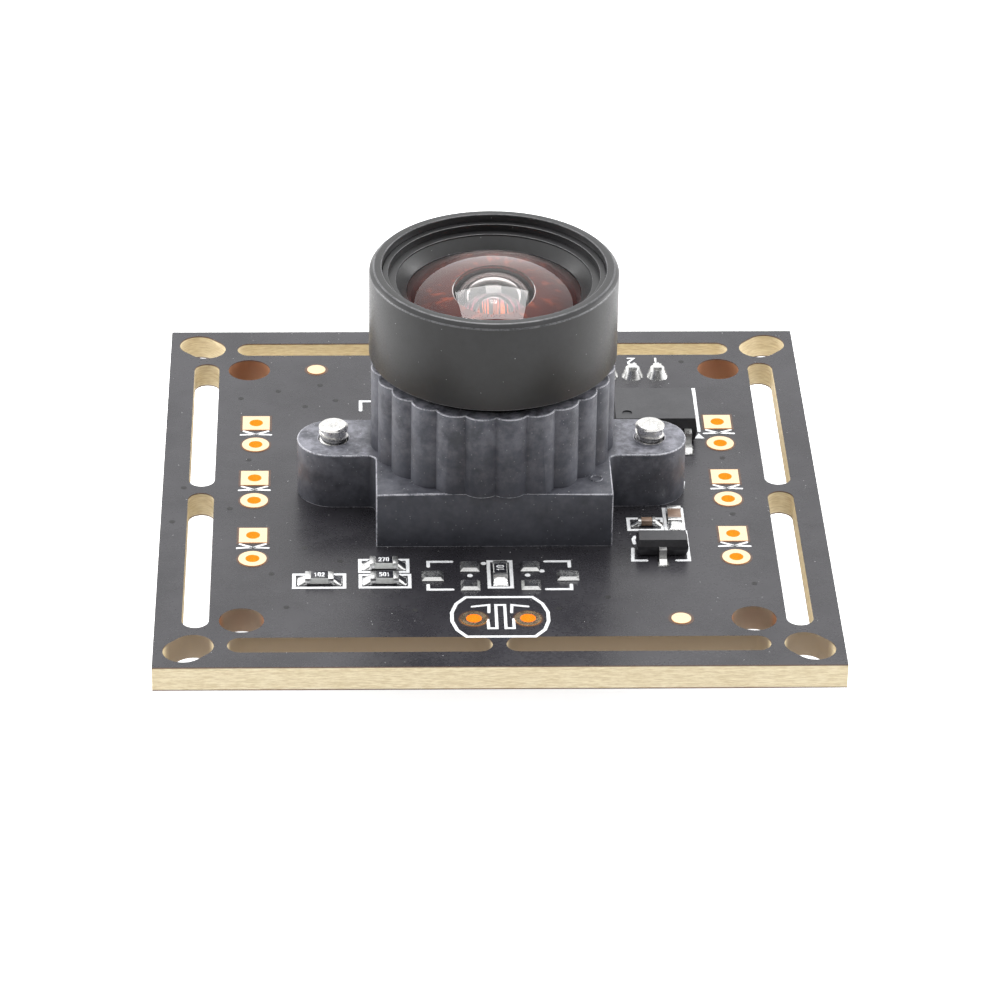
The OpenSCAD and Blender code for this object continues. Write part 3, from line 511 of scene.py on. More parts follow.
def coating_reflection_finish():
    """A painted reflection of the coated back of the front glass, seen through it, with brighter orange streaks near
    the middle.
    """
    f = Finish("coated_back", (0.2, 0.06, 0.045), 0.25)
    x, y, z = f.split(f.mm)
    angle = f.math("ARCTAN2", y, x)
    radius = f.distance(x, y)
    around = f.node("ShaderNodeCombineXYZ", X=f.math("MULTIPLY", angle, 2.0),
                    Y=f.math("MULTIPLY", radius, 0.4)).outputs[0]
    streak = f.node("ShaderNodeTexNoise", Vector=around, Scale=2.2, Detail=4.0, Roughness=0.6).outputs["Fac"]
    base = f.mix(f.span(radius, 2.2, 5.0), (0.115, 0.024, 0.018), (0.045, 0.014, 0.014))
    # painted reflection: brighter orange streaks towards the middle
    reflection_streaks = f.math("MULTIPLY", f.span(streak, 0.5, 0.68), f.span(radius, 2.2, 4.4, 1.0, 0.0))
    f.set("Base Color", f.mix(f.math("MULTIPLY", reflection_streaks, 0.6), base, (0.5, 0.09, 0.03)))
    return f.material


GOLD = gold_finish()
SOLDER = solder_finish()
BRIGHT = solder_finish("fresh_solder", (0.93, 0.93, 0.92), 0.12)
TIN = solder_finish("tinned_leads", (0.72, 0.72, 0.71), 0.3)
STEEL = solder_finish("screw_steel", (0.74, 0.73, 0.71), 0.24)
MASK = board_finish()
MOUNT = mount_finish()
LENS = lens_finish()
LENS_EDGE = edge_wear_and_highlight_finish("lens_edge", (0.035, 0.035, 0.038), (0.11, 0.11, 0.115), 0.35)
EDGE_WEAR_AND_HIGHLIGHT = edge_wear_and_highlight_finish("rubbed_and_highlit_edge", (0.12, 0.125, 0.15), (0.46, 0.46, 0.5), 0.5)
INNER = plain_finish("inner_black", (0.004, 0.004, 0.004), (0.009, 0.009, 0.009), 0.45, 0.6, bump=0).material
INK = plain_finish("print_white", (0.72, 0.73, 0.75), (0.84, 0.85, 0.86), 0.5, 2.0, bump=0.004).material
RESIN_RING = plain_finish("bare_resin", (0.045, 0.022, 0.014), (0.09, 0.045, 0.028), 0.45, 2.0).material
EPOXY = plain_finish("package_black", (0.020, 0.020, 0.023), (0.034, 0.034, 0.038), 0.4, 0.8,
                     bump=0.006, bump_scale=6.0).material
ETCH = plain_finish("laser_mark", (0.10, 0.10, 0.105), (0.17, 0.17, 0.175), 0.6, 3.0).material
GLAZE = plain_finish("resistor_black", (0.012, 0.012, 0.016), (0.03, 0.03, 0.036), 0.22, 1.5, bump=0.004).material
ALUMINA = plain_finish("chip_alumina", (0.62, 0.63, 0.61), (0.78, 0.79, 0.77), 0.45, 2.0, bump=0.004).material
CERAMIC = plain_finish("chip_ceramic", (0.16, 0.10, 0.07), (0.26, 0.18, 0.13), 0.4, 2.0, bump=0.004).material
NYLON = plain_finish("connector_plastic", (0.68, 0.64, 0.54), (0.78, 0.75, 0.66), 0.4, 0.5,
                     Subsurface_Weight=0.15, Subsurface_Scale=0.001).material
SILICON = plain_finish("silicon", (0.06, 0.09, 0.11), (0.12, 0.15, 0.18), 0.12, 1.0, bump=0).material
PACKAGE = plain_finish("sensor_package", (0.16, 0.12, 0.09), (0.22, 0.17, 0.13), 0.5, 1.0).material
FRONT_GLASS = glass_finish("front_glass", (1.0, 0.95, 0.93), 0.35)
CLEAR = glass_finish("clear_glass", (0.95, 0.98, 0.97))
FILTER = glass_finish("filter_glass", (0.85, 0.55, 0.6))
DOME = dome_finish()
COATING_REFLECTION = coating_reflection_finish()
DUST_GREY = plain_finish("dust", (0.35, 0.35, 0.36), (0.6, 0.6, 0.6), 0.8, 3.0, bump=0).material
HOLE_SHADE = plain_finish("painted_hole_shade", (0.004, 0.004, 0.004), (0.008, 0.008, 0.009), 0.6, 2.0).material


def finish_node(node, material):
    mesh = nodes[node].data
    mesh.materials.clear()
    mesh.materials.append(material)


for node, material in {
    "circuit_board": MASK, "lamp_pads": GOLD, "light_sensor_pads": GOLD, "fiducials": GOLD,
    "empty_pads": SOLDER, "left_resistor": ALUMINA, "upper_resistor": ALUMINA,
    "lower_resistor": ALUMINA, "centre_resistor": ALUMINA, "small_capacitor": CERAMIC,
    "large_capacitor": CERAMIC, "chip_solder": SOLDER, "transistor": EPOXY,
    "transistor_leads": TIN, "memory_chip": EPOXY, "memory_leads": TIN, "lead_solder": SOLDER,
    "lens_mount": MOUNT, "ear_screws": STEEL, "lens_barrel": LENS, "front_ring": LENS,
    "front_element": FRONT_GLASS, "front_spacer": INNER, "middle_element": DOME,
    "stop_spacer": INNER, "aperture_stop": INNER, "rear_spacer": INNER, "rear_element": CLEAR,
    "infrared_filter": FILTER, "image_sensor": PACKAGE, "sensor_die": SILICON,
    "sensor_glass": CLEAR, "connector_housing": NYLON, "connector_pins": TIN,
    "pin_solder": SOLDER, "controller_chip": EPOXY, "crystal": STEEL, "regulator": EPOXY,
    "regulator_leads": TIN, "bypass_capacitors": CERAMIC, "bypass_solder": SOLDER,
}.items():
    finish_node(node, material)


# ---------------------------------------------------------------- what repeats, grown by geometry trees

class Grower:
    """A geometry tree with named sizes, which ends in plain geometry of one material."""

    def __init__(self, name, sizes):
        self.tree = bpy.data.node_groups.new(name, "GeometryNodeTree")
        sockets = [("Geometry", "NodeSocketGeometry", None), *sizes, ("Material", "NodeSocketMaterial", None)]
        for label, kind, value in sockets:
            socket = self.tree.interface.new_socket(label, in_out="INPUT", socket_type=kind)
            if value is not None:
                socket.default_value = value
        self.tree.interface.new_socket("Geometry", in_out="OUTPUT", socket_type="NodeSocketGeometry")
        self.size = self.tree.nodes.new("NodeGroupInput").outputs

    def node(self, kind, settings=None, **inputs):
        return place_node(self.tree, kind, settings, **inputs).outputs

    def end(self, geometry):
        real = self.node("GeometryNodeRealizeInstances", Geometry=geometry)[0]
        painted = self.node("GeometryNodeSetMaterial", Geometry=real, Material=self.size["Material"])[0]
        self.tree.links.new(painted, self.tree.nodes.new("NodeGroupOutput").inputs[0])
        return self.tree


def stamp_tree():
    """Repeats a small shape at every point, turned by the point's own angle."""
    g = Grower("stamp", [("Shape", "NodeSocketObject", None)])
    shape = g.node("GeometryNodeObjectInfo", Object=g.size["Shape"])["Geometry"]
    turn = g.node("GeometryNodeInputNamedAttribute", {"data_type": "FLOAT"}, Name="turn")[0]
    spin = g.node("ShaderNodeCombineXYZ", Z=turn)[0]
    return g.end(g.node("GeometryNodeInstanceOnPoints", Points=g.size["Geometry"], Instance=shape,
                        Rotation=spin)[0])


def thread_tree():
    """A screw thread at every point: a sharp ridge that climbs round a core."""
    g = Grower("thread", [("Radius", "NodeSocketFloat", 0.001), ("Depth", "NodeSocketFloat", 0.0001),
                          ("Pitch", "NodeSocketFloat", 0.0004), ("Turns", "NodeSocketFloat", 4.0)])
    climb = g.node("ShaderNodeMath", {"operation": "MULTIPLY"}, i0=g.size["Pitch"], i1=g.size["Turns"])[0]
    core = g.node("ShaderNodeMath", {"operation": "SUBTRACT"}, i0=g.size["Radius"], i1=g.size["Depth"])[0]
    path = g.node("GeometryNodeCurveSpiral", Resolution=40, Rotations=g.size["Turns"], Start_Radius=core,
                  End_Radius=core, Height=climb)[0]
    ridge = g.node("GeometryNodeCurvePrimitiveCircle", Resolution=4, Radius=g.size["Depth"])[0]
    made = g.node("GeometryNodeCurveToMesh", Curve=path, Profile_Curve=ridge, Fill_Caps=True)[0]
    return g.end(g.node("GeometryNodeInstanceOnPoints", Points=g.size["Geometry"], Instance=made)[0])


def crumb_tree():
    """Crumbs of dust scattered over the faces that look up."""
    g = Grower("crumbs", [("Density", "NodeSocketFloat", 20000.0), ("Size", "NodeSocketFloat", 0.00003),
                          ("Seed", "NodeSocketInt", 3)])
    up = g.node("ShaderNodeSeparateXYZ", Vector=g.node("GeometryNodeInputNormal")[0])["Z"]
    top = g.node("FunctionNodeCompare", {"operation": "GREATER_THAN"}, A=up, B=0.5)[0]
    points = g.node("GeometryNodeDistributePointsOnFaces", Mesh=g.size["Geometry"], Selection=top,
                    Density=g.size["Density"], Seed=g.size["Seed"])[0]
    grain = g.node("GeometryNodeMeshIcoSphere", Radius=g.size["Size"], Subdivisions=1)[0]
    scale = g.node("FunctionNodeRandomValue", {"data_type": "FLOAT"}, i2=0.35, i3=1.0, Seed=g.size["Seed"])[1]
    spin = g.node("FunctionNodeRandomValue", {"data_type": "FLOAT_VECTOR"}, i0=(0.0, 0.0, 0.0),
                  i1=(6.28, 6.28, 6.28), Seed=g.size["Seed"])[0]
    return g.end(g.node("GeometryNodeInstanceOnPoints", Points=points, Instance=grain, Scale=scale,
                        Rotation=spin)[0])


STAMP, THREAD, CRUMBS = stamp_tree(), thread_tree(), crumb_tree()


def marks(places):
    """Points in millimetres as (x, y, z) or (x, y, z, turn in degrees)."""
    mesh = bpy.data.meshes.new("places")
    mesh.from_pydata([tuple(c * MM for c in place[:3]) for place in places], [], [])
    turn = mesh.attributes.new("turn", "FLOAT", "POINT")
    for k, place in enumerate(places):
        turn.data[k].value = math.radians(place[3]) if len(place) > 3 else 0.0
    return mesh


def grow(name, tree, base, body, slot, material, **sizes):
    """Grows a tree on a base mesh and keeps the result as a plain piece."""
    seed = bpy.data.objects.new(name + "_seed", base)
    scene.collection.objects.link(seed)
    modifier = seed.modifiers.new("grow", "NODES")
    modifier.node_group = tree
    sizes["Material"] = material
    for item in tree.interface.items_tree:
        if item.in_out == "INPUT" and item.name in sizes:
            modifier[item.identifier] = sizes[item.name]
    made = bpy.data.meshes.new_from_object(seed.evaluated_get(bpy.context.evaluated_depsgraph_get()))
    seed.modifiers.clear()
    bpy.data.objects.remove(seed)
    bm = bmesh.new()
    bm.from_mesh(made)
    bmesh.ops.remove_doubles(bm, verts=bm.verts, dist=1e-7)
    bmesh.ops.recalc_face_normals(bm, faces=bm.faces)
    for f in bm.faces:
        f.material_index = 0
    soften(bm, 0, 0, crease=35)
    mesh = bpy.data.meshes.new(name)
    bm.to_mesh(mesh)
    bm.free()
    return show(name, mesh, body, [material])


def repeat(name, shape, places, body, slot, material):
    """Repeats a shape, drawn round the origin in millimetres, at each of the places."""
    mesh = bpy.data.meshes.new(name + "_shape")
    mesh.from_pydata([tuple(c * MM for c in v) for v in shape.verts], [], shape.faces)
    stamp = bpy.data.objects.new(name + "_shape", mesh)
    scene.collection.objects.link(stamp)
    piece = grow(name, STAMP, marks(places), body, slot, material, Shape=stamp)
    bpy.data.objects.remove(stamp)
    return piece


# ---------------------------------------------------------------- lens and mount

HEAD_R, HEAD_TOP = BARREL_HI.x, BARREL_HI.z
HEAD_GAP = 0.64
HEAD_BOTTOM = MOUNT_TOP + HEAD_GAP
RING_BORE_R = RING_HI.x + 0.03
CELL_BORE_R = CELL_HI.x + 0.02
THREAD_R, THREAD_DEPTH, THREAD_PITCH = 6.0, 0.14, 0.5
LIP_R = CELL_BORE_R - 1.15
GLASS_CLEAR_R = 4.95
GLASS_RIM_T, DOME_RIM_T = 1.0, 1.3
TURNED_STEPS = 192

# the rounded edges take the second finish: rubbed pale, and a painted highlight along them
softened("lens_mount", "moulded_mount", "module", [MOUNT, EDGE_WEAR_AND_HIGHLIGHT], 0.07, 2, edge_slot=1)

hood = Shape()
hood.revolve([
    (LIP_R, BARREL_LO.z), (THREAD_R - THREAD_DEPTH, BARREL_LO.z), (THREAD_R - THREAD_DEPTH, HEAD_BOTTOM),
    (HEAD_R, HEAD_BOTTOM), (HEAD_R, HEAD_TOP - 0.25), (HEAD_R - 0.25, HEAD_TOP), (RING_BORE_R, HEAD_TOP),
    (RING_BORE_R, RING_LO.z), (GLASS_HI.x + 0.02, RING_LO.z), (GLASS_HI.x + 0.02, GLASS_LO.z),
    (CELL_BORE_R, GLASS_LO.z), (CELL_BORE_R, REAR_BOTTOM), (LIP_R, REAR_BOTTOM),
], TURNED_STEPS)
hood.finish("barrel_and_hood", "lens", [LENS, LENS_EDGE], 0.06, 3, 25,
            replaces=("lens_barrel",), edge_slot=1)
grow("barrel_thread", THREAD, marks([(0, 0, BARREL_LO.z + 0.2)]), "lens", "lens_black", LENS,
     Radius=THREAD_R * MM, Depth=THREAD_DEPTH * MM, Pitch=THREAD_PITCH * MM,
     Turns=(HEAD_BOTTOM - BARREL_LO.z - 0.3) / THREAD_PITCH)

ring = Shape()
STEP_1, STEP_2, STEP_H, STEP_WALL, EDGE_T = 0.33, 0.44, 0.42, 0.1, 0.06
step_r = [RING_HI.x - STEP_1, RING_HI.x - STEP_1 - STEP_2]
ring.revolve([
    (GLASS_CLEAR_R, RING_LO.z), (RING_HI.x, RING_LO.z), (RING_HI.x, RING_HI.z), (step_r[0], RING_HI.z),
    (step_r[0], RING_HI.z - STEP_H), (step_r[1], RING_HI.z - STEP_H),
    (step_r[1], RING_HI.z - STEP_H - STEP_WALL), (GLASS_CLEAR_R, RING_LO.z + EDGE_T),
], TURNED_STEPS)
ring.finish("stepped_ring", "lens", [LENS, LENS_EDGE], 0.025, 2, 20,
            replaces=("front_ring",), edge_slot=1)


def cap_points(radius, curve, base, steps=24):
    """Points of a domed cap, from its edge at height base up to just before its middle."""
    edge = math.asin(radius / curve)
    centre = base - curve * math.cos(edge)
    return [(curve * math.sin(edge * (1 - k / steps)), centre + curve * math.cos(edge * (1 - k / steps)))
            for k in range(steps)], (0, centre + curve)


# front glass: a crown above its rim and a hollow in its back, with a disc behind the clear part that carries a painted
# reflection of the coating
CROWN_CURVE, HOLLOW_R, HOLLOW_CURVE = 8.8, 2.0, 2.6
rim_top = GLASS_LO.z + GLASS_RIM_T
crown, crown_tip = cap_points(GLASS_CLEAR_R, CROWN_CURVE, rim_top, 32)
hollow, hollow_tip = cap_points(HOLLOW_R, HOLLOW_CURVE, GLASS_LO.z)
glass = Shape()
glass.revolve([hollow_tip, *hollow[::-1], (GLASS_HI.x, GLASS_LO.z), (GLASS_HI.x, rim_top), *crown, crown_tip],
              128, closed=False)
glass.finish("front_glass", "lens", [FRONT_GLASS], crease=30, replaces=("front_element",))
backing = Shape()
backing.revolve([(HOLLOW_R + 0.04, GLASS_LO.z + 0.02), (GLASS_CLEAR_R + 0.1, GLASS_LO.z + 0.02),
                 (GLASS_CLEAR_R + 0.1, GLASS_LO.z + 0.05), (HOLLOW_R + 0.04, GLASS_LO.z + 0.05)], 96)
backing.finish("coated_back", "lens", [COATING_REFLECTION])

# the glass behind it has a small high dome
DOME_R, DOME_CURVE = 1.3, 1.4
dome_rim = CELL_LO.z + DOME_RIM_T
dome_cap, dome_tip = cap_points(DOME_R, DOME_CURVE, dome_rim)
dome = Shape()
dome.revolve([(0, CELL_LO.z), (CELL_HI.x, CELL_LO.z), (CELL_HI.x, dome_rim), *dome_cap, dome_tip],
             closed=False)
dome.finish("middle_glass", "lens", [DOME], crease=50, replaces=("middle_element",))

# ear screws: a core, a beaten tip, a domed head with a cross recess below, drawn as a thin black cross of painted
# shade, and a rolled thread
SCREW_X, SCREW_R, SCREW_HEAD_R, SCREW_THREAD = 9.1, 0.85, 1.55, 0.11
screws = Shape()
for side in (-1, 1):
    profile = [(0, SCREW_LO.z), (SCREW_HEAD_R * 0.55, SCREW_LO.z), (SCREW_HEAD_R * 0.9, SCREW_LO.z + 0.3),
               (SCREW_HEAD_R, SCREW_LO.z + 0.75), (SCREW_HEAD_R, 0), (SCREW_R - SCREW_THREAD, 0),
               (SCREW_R - SCREW_THREAD, SCREW_HI.z - 0.22), (SCREW_R * 0.98, SCREW_HI.z - 0.2),
               (SCREW_R, SCREW_HI.z - 0.12), (SCREW_R * 0.84, SCREW_HI.z), (0, SCREW_HI.z - 0.03)]
    screws.revolve(profile, 48, centre=(side * SCREW_X, 0), closed=False)
    for turn in (45, 135):
        arm = Matrix.Translation((side * SCREW_X, 0, 0)) @ Matrix.Rotation(math.radians(turn), 4, "Z")
        # painted shade: a thin black cross stands for the shade in the recess
        screws.block((-0.85, -0.2, SCREW_LO.z - 0.004), (0.85, 0.2, SCREW_LO.z + 0.02), 1, arm)
screws.finish("screw_bodies", "module", [STEEL, HOLE_SHADE], 0.03, 2, 30,
              replaces=("ear_screws",))
grow("screw_threads", THREAD, marks([(side * SCREW_X, 0, FOOT_TOP - 1.2) for side in (-1, 1)]), "module",
     "screw_steel", STEEL, Radius=SCREW_R * MM, Depth=SCREW_THREAD * MM, Pitch=0.00045, Turns=4.1)


# ---------------------------------------------------------------- small parts

CHIP_L, CHIP_W, CHIP_H, LAND_T = 1.6, 0.8, 0.4, 0.05


def chip_parts(pos, turn=0, long=CHIP_L, wide=CHIP_W, high=CHIP_H):
    """Place and size of a chip, shared by its body and its solder."""
    at = Matrix.Translation((*pos, BOARD_TOP)) @ Matrix.Rotation(math.radians(turn), 4, "Z")
    return at, long, wide, high


def chip_body(shape, chip, mark=None, glazed=True):
    """A ceramic block with plated caps; a resistor has black glaze and figures on top."""
    at, long, wide, high = chip
    low, half_l, half_w = LAND_T, long / 2, wide / 2
    cap = long * 0.19
    shape.block((-half_l + cap, -half_w + 0.02, low + 0.02),
                (half_l - cap, half_w - 0.02, low + high - 0.02), 0, at)
    for s in (-1, 1):
        lo, hi = sorted((s * half_l, s * (half_l - cap)))
        shape.block((lo, -half_w, low), (hi, half_w, low + high), 2, at)
    if glazed:
        shape.block((-half_l + cap + 0.02, -half_w + 0.05, low + high - 0.03),
                    (half_l - cap - 0.02, half_w - 0.05, low + high + 0.015), 1, at)
    if mark:
        number_at(shape, mark, at, 0.36, 0.62, 0.07, low + high + 0.01, low + high + 0.022, 3)


def chip_menisci(shape, chip, reach=0.45):
    """A concave fillet of solder at each end, drawn in at its sides and bright on its bulge."""
    at, long, wide, high = chip
    across, along = 10, 8
    for s in (0, 180):
        place = at @ Matrix.Rotation(math.radians(s), 4, "Z")
        rows = []
        for i in range(along + 1):
            t = i / along
            row = []
            for j in range(across + 1):
                u = 2 * j / across - 1
                belly = 1 - u ** 4
                y = u * wide / 2 * (1 + 0.1 * t)
                x = long / 2 - 0.1 + (reach + 0.1) * t * (0.86 + 0.14 * belly)
                slope = (LAND_T + (high * 0.92) * (1 - t) ** 1.7) * (0.35 + 0.65 * belly)
                z = slope + 0.05 * math.sin(math.pi * t) * belly
                row.append((x, y, max(z, 0.015)))
            rows.append(row)
        edge = [row[0] for row in rows] + rows[-1][1:] + [row[-1] for row in rows[-2::-1]] + rows[0][-2:0:-1]
        n = len(edge)
        sides = [[i, (i + 1) % n, n + (i + 1) % n, n + i] for i in range(n)]
        shape.sheet(rows, 0, place=place)
        shape.add(edge + [(x, y, 0.0) for x, y, z in edge], sides + [list(range(n, 2 * n))], 0, place)


def number_at(shape, text, at, height, width, line, low, high, slot=0):
    """Plain figures centred on a place."""
    pitch = width / len(text)
    for k, digit in enumerate(text):
        left = -width / 2 + pitch * (k + 0.18)
        for path in DIGITS[digit]:
            ribbon(shape, [(left + x * pitch * 0.95, (y - 0.5) * height) for x, y in path], line, slot,
                   low=low, high=high, place=at)


# ---------------------------------------------------------------- print on the board

INK_T, RESIN_T, SUNK = 0.018, 0.008, 0.005


def ribbon(shape, path, width, slot=0, loop=False, low=BOARD_TOP - SUNK, high=BOARD_TOP + INK_T, place=None):
    """A printed line along a path, with mitred bends and rounded ends."""
    pts = [Vector(p) for p in path]
    n = len(pts)
    left, right = [], []
    for i, p in enumerate(pts):
        before = pts[i - 1] if i > 0 or loop else None
        after = pts[(i + 1) % n] if i < n - 1 or loop else None
        a = (p - before).normalized() if before is not None else (after - p).normalized()
        b = (after - p).normalized() if after is not None else a
        side_a, side_b = Vector((-a.y, a.x)), Vector((-b.y, b.x))
        mitre = (side_a + side_b)
        mitre = mitre / max(0.5, mitre.dot(side_b))
        left.append(p + mitre * width / 2)
        right.append(p - mitre * width / 2)
    if loop:
        rows = [[(v.x, v.y, low) for v in right], [(v.x, v.y, high) for v in right],
                [(v.x, v.y, high) for v in left], [(v.x, v.y, low) for v in left]]
        shape.sheet(rows, slot, loop=True, ring=True, place=place)
        return
    start, end = (pts[0] - pts[1]).normalized(), (pts[-1] - pts[-2]).normalized()
    cap = lambda p, d: [p + Matrix.Rotation(math.radians(t), 2) @ d * width / 2 for t in (-55, -20, 20, 55)]
    outline = right + cap(pts[-1], end) + left[::-1] + cap(pts[0], start)
    rings = [(v.x, v.y) for v in outline]
    strip = len(right)
    m = len(rings)
    verts = [(x, y, high) for x, y in rings] + [(x, y, low) for x, y in rings]
    faces = [[i, m + i, m + (i + 1) % m, (i + 1) % m] for i in range(m)]
    lefts = list(range(strip + 4, 2 * strip + 4))[::-1]
    for k in range(strip - 1):
        faces.append([k, k + 1, lefts[k + 1], lefts[k]])
        faces.append([m + k + 1, m + k, m + lefts[k], m + lefts[k + 1]])
    ends = [strip - 1] + list(range(strip, strip + 4)) + [lefts[-1]]
    faces.append(ends)
    faces.append([m + i for i in ends[::-1]])
    ends = [lefts[0]] + list(range(2 * strip + 4, 2 * strip + 8)) + [0]
    faces.append(ends)
    faces.append([m + i for i in ends[::-1]])
    shape.add(verts, faces, slot, place)


DIGITS = {
    "0": [[(0.1, 0), (0.5, 0), (0.6, 0.15), (0.6, 0.85), (0.5, 1), (0.1, 1), (0, 0.85), (0, 0.15), (0.1, 0)]],
    "1": [[(0.1, 0.8), (0.32, 1), (0.32, 0)]],
    "2": [[(0, 0.8), (0.12, 1), (0.5, 1), (0.6, 0.82), (0.6, 0.62), (0, 0), (0.62, 0)]],
    "3": [[(0, 0.95), (0.5, 1), (0.6, 0.8), (0.5, 0.55), (0.2, 0.53), (0.5, 0.5), (0.6, 0.22), (0.5, 0), (0, 0.05)]],
    "4": [[(0.48, 0), (0.48, 1), (0, 0.32), (0.65, 0.32)]],
    "5": [[(0.58, 1), (0.05, 1), (0.03, 0.58), (0.45, 0.6), (0.6, 0.42), (0.6, 0.15), (0.45, 0), (0, 0.02)]],
    "6": [[(0.55, 1), (0.15, 0.75), (0, 0.35), (0.1, 0.05), (0.45, 0), (0.6, 0.25), (0.45, 0.52), (0.05, 0.42)]],
    "7": [[(0, 1), (0.6, 1), (0.2, 0)]],
    "8": [[(0.3, 0.53), (0.05, 0.7), (0.12, 0.98), (0.48, 0.98), (0.55, 0.7), (0.3, 0.53), (0.02, 0.3),
           (0.1, 0.02), (0.5, 0.02), (0.58, 0.3), (0.3, 0.53)]],
    "9": [[(0.05, 0), (0.45, 0.25), (0.6, 0.65), (0.5, 0.95), (0.15, 1), (0, 0.75), (0.15, 0.48), (0.55, 0.58)]],
}


def rect(x0, x1, y0, y1):
    return [(x0, y0), (x1, y0), (x1, y1), (x0, y1)]


RESISTORS = {
    "left_resistor": ((-9.9, -10.15), 0, "102"), "upper_resistor": ((-6.28, -8.55), 0, "270"),
    "lower_resistor": ((-6.25, -10.15), 0, "501"), "centre_resistor": ((0.25, -9.5), 90, "10"),
}
CAPACITORS = {
    "small_capacitor": ((8.8, -4.1), 0, 1.0, 0.5, 0.35), "large_capacitor": ((10.42, -3.5), 90, 1.6, 0.8, 0.4),
}
menisci = Shape()
for node, (pos, turn, mark) in RESISTORS.items():
    chip = chip_parts(pos, turn)
    body = Shape()
    chip_body(body, chip, mark)
    body.finish(node + "_parts", "module", [ALUMINA, GLAZE, TIN, INK], 0.02, 2, replaces=(node,))
    chip_menisci(menisci, chip)
for node, (pos, turn, long, wide, high) in CAPACITORS.items():
    chip = chip_parts(pos, turn, long, wide, high)
    body = Shape()
    chip_body(body, chip, glazed=False)
    body.finish(node + "_parts", "module", [CERAMIC, GLAZE, TIN], 0.025, 2, replaces=(node,))
    chip_menisci(menisci, chip)
menisci.finish("chip_menisci", "module", [BRIGHT], crease=70, replaces=("chip_solder",))

frames = Shape()
for x0, x1, y0, y1 in (
    (-11.33, -8.5, -10.83, -9.42), (-7.63, -4.94, -9.17, -7.87), (-7.61, -4.85, -10.82, -9.49),
    (-0.39, 0.88, -10.88, -8.07), (7.77, 9.71, -4.7, -3.44), (9.88, 10.9, -4.7, -2.35),
):
    ribbon(frames, rect(x0, x1, y0, y1), 0.2, loop=True)
for path in (
    [(-2.45, -8.1), (-3.78, -8.1), (-3.78, -8.62)], [(-2.45, -11.08), (-3.82, -11.08), (-3.82, -10.58)],
    [(2.82, -8.1), (4.18, -8.1), (4.18, -8.68)], [(2.8, -11.08), (4.2, -11.08), (4.2, -10.6)],
    [(8.58, -8.05), (7.8, -8.05), (7.87, -6.75)], [(10.3, -8.05), (11.0, -8.05), (10.98, -4.85)],
    [(7.99, -6.2), (7.95, -5.75), (8.05, -5.45)],
    [(12.53, 6.6), (12.53, 11.7), (7.4, 11.7)],
    [(7.0, -1.84), (9.55, -1.8), (10.3, -1.45), (10.85, -0.75), (11.15, 0.0), (11.25, 0.7)],
    [(-7.5, 9.2), (-7.5, 10.3), (-6.8, 10.3)], [(-7.2, 3.2), (-7.2, 2.2)],
):
    ribbon(frames, path, 0.2 if path[0][0] != 7.0 else 0.14)
frames.prism([(12.2, 5.75), (12.8, 5.75), (12.5, 6.35)], BOARD_TOP - SUNK, BOARD_TOP + INK_T)
for at in ((-1.45, -9.6), (-0.66, -8.3), (1.79, -9.57), (2.61, -9.14)):
    frames.prism(circle(0.16, 12, at), BOARD_TOP - SUNK, BOARD_TOP + INK_T)
frames.finish("part_outlines", "module", [INK])

LAMP_X, LAMP_PITCH, PAD_OUT = 13.69, 6.43, 1.27
lamps = [(side * LAMP_X, row * LAMP_PITCH, 0) for side in (-1, 1) for row in (-1, 0, 1)]
mark = Shape()
for s in (-1, 1):
    ribbon(mark, [(s * 0.72, 0.33), (s * 0.1, 0)], 0.16)
    ribbon(mark, [(s * 0.88, -0.1), (s * 0.12, -0.04)], 0.16)
repeat("lamp_marks", mark, lamps, "module", "board_mask", INK)

sensor_mark = Shape()
ribbon(sensor_mark, [
    (-1.78, -16.0), (-2.3, -15.3), (-2.56, -14.4), (-2.56, -13.5), (-2.3, -12.6), (-1.75, -11.9),
    (1.97, -11.9), (2.5, -12.6), (2.78, -13.5), (2.78, -14.4), (2.55, -15.3), (2.0, -16.0)], 0.2, loop=True)
ribbon(sensor_mark, [(-1.41, -12.89), (-0.48, -12.72), (-0.5, -13.5)], 0.17)
ribbon(sensor_mark, [(-0.58, -14.25), (-0.55, -15.15), (-0.1, -15.15), (-0.1, -12.73), (0.4, -12.73),
                     (0.4, -15.15), (0.85, -15.15), (0.85, -14.2)], 0.17)
ribbon(sensor_mark, [(0.76, -13.5), (0.8, -12.73), (1.69, -12.9)], 0.17)
sensor_mark.finish("light_sensor_outline", "module", [INK])

pin_numbers = Shape()
PIN_XS = [10.45, 8.95, 7.45, 5.95]
for k, x in enumerate(PIN_XS):
    above = Matrix.Translation((x, 15.15, 0)) @ Matrix.Rotation(math.pi, 4, "Z")
    number_at(pin_numbers, str(k + 1), above, 0.75, 0.62, 0.13, BOARD_TOP - SUNK, BOARD_TOP + INK_T)
    below = Matrix.Translation((x, 10.9, 0))
    number_at(pin_numbers, str(k + 1), below, 0.8, 0.62, 0.13, -INK_T, SUNK)
pin_numbers.finish("pin_numbers", "module", [INK])

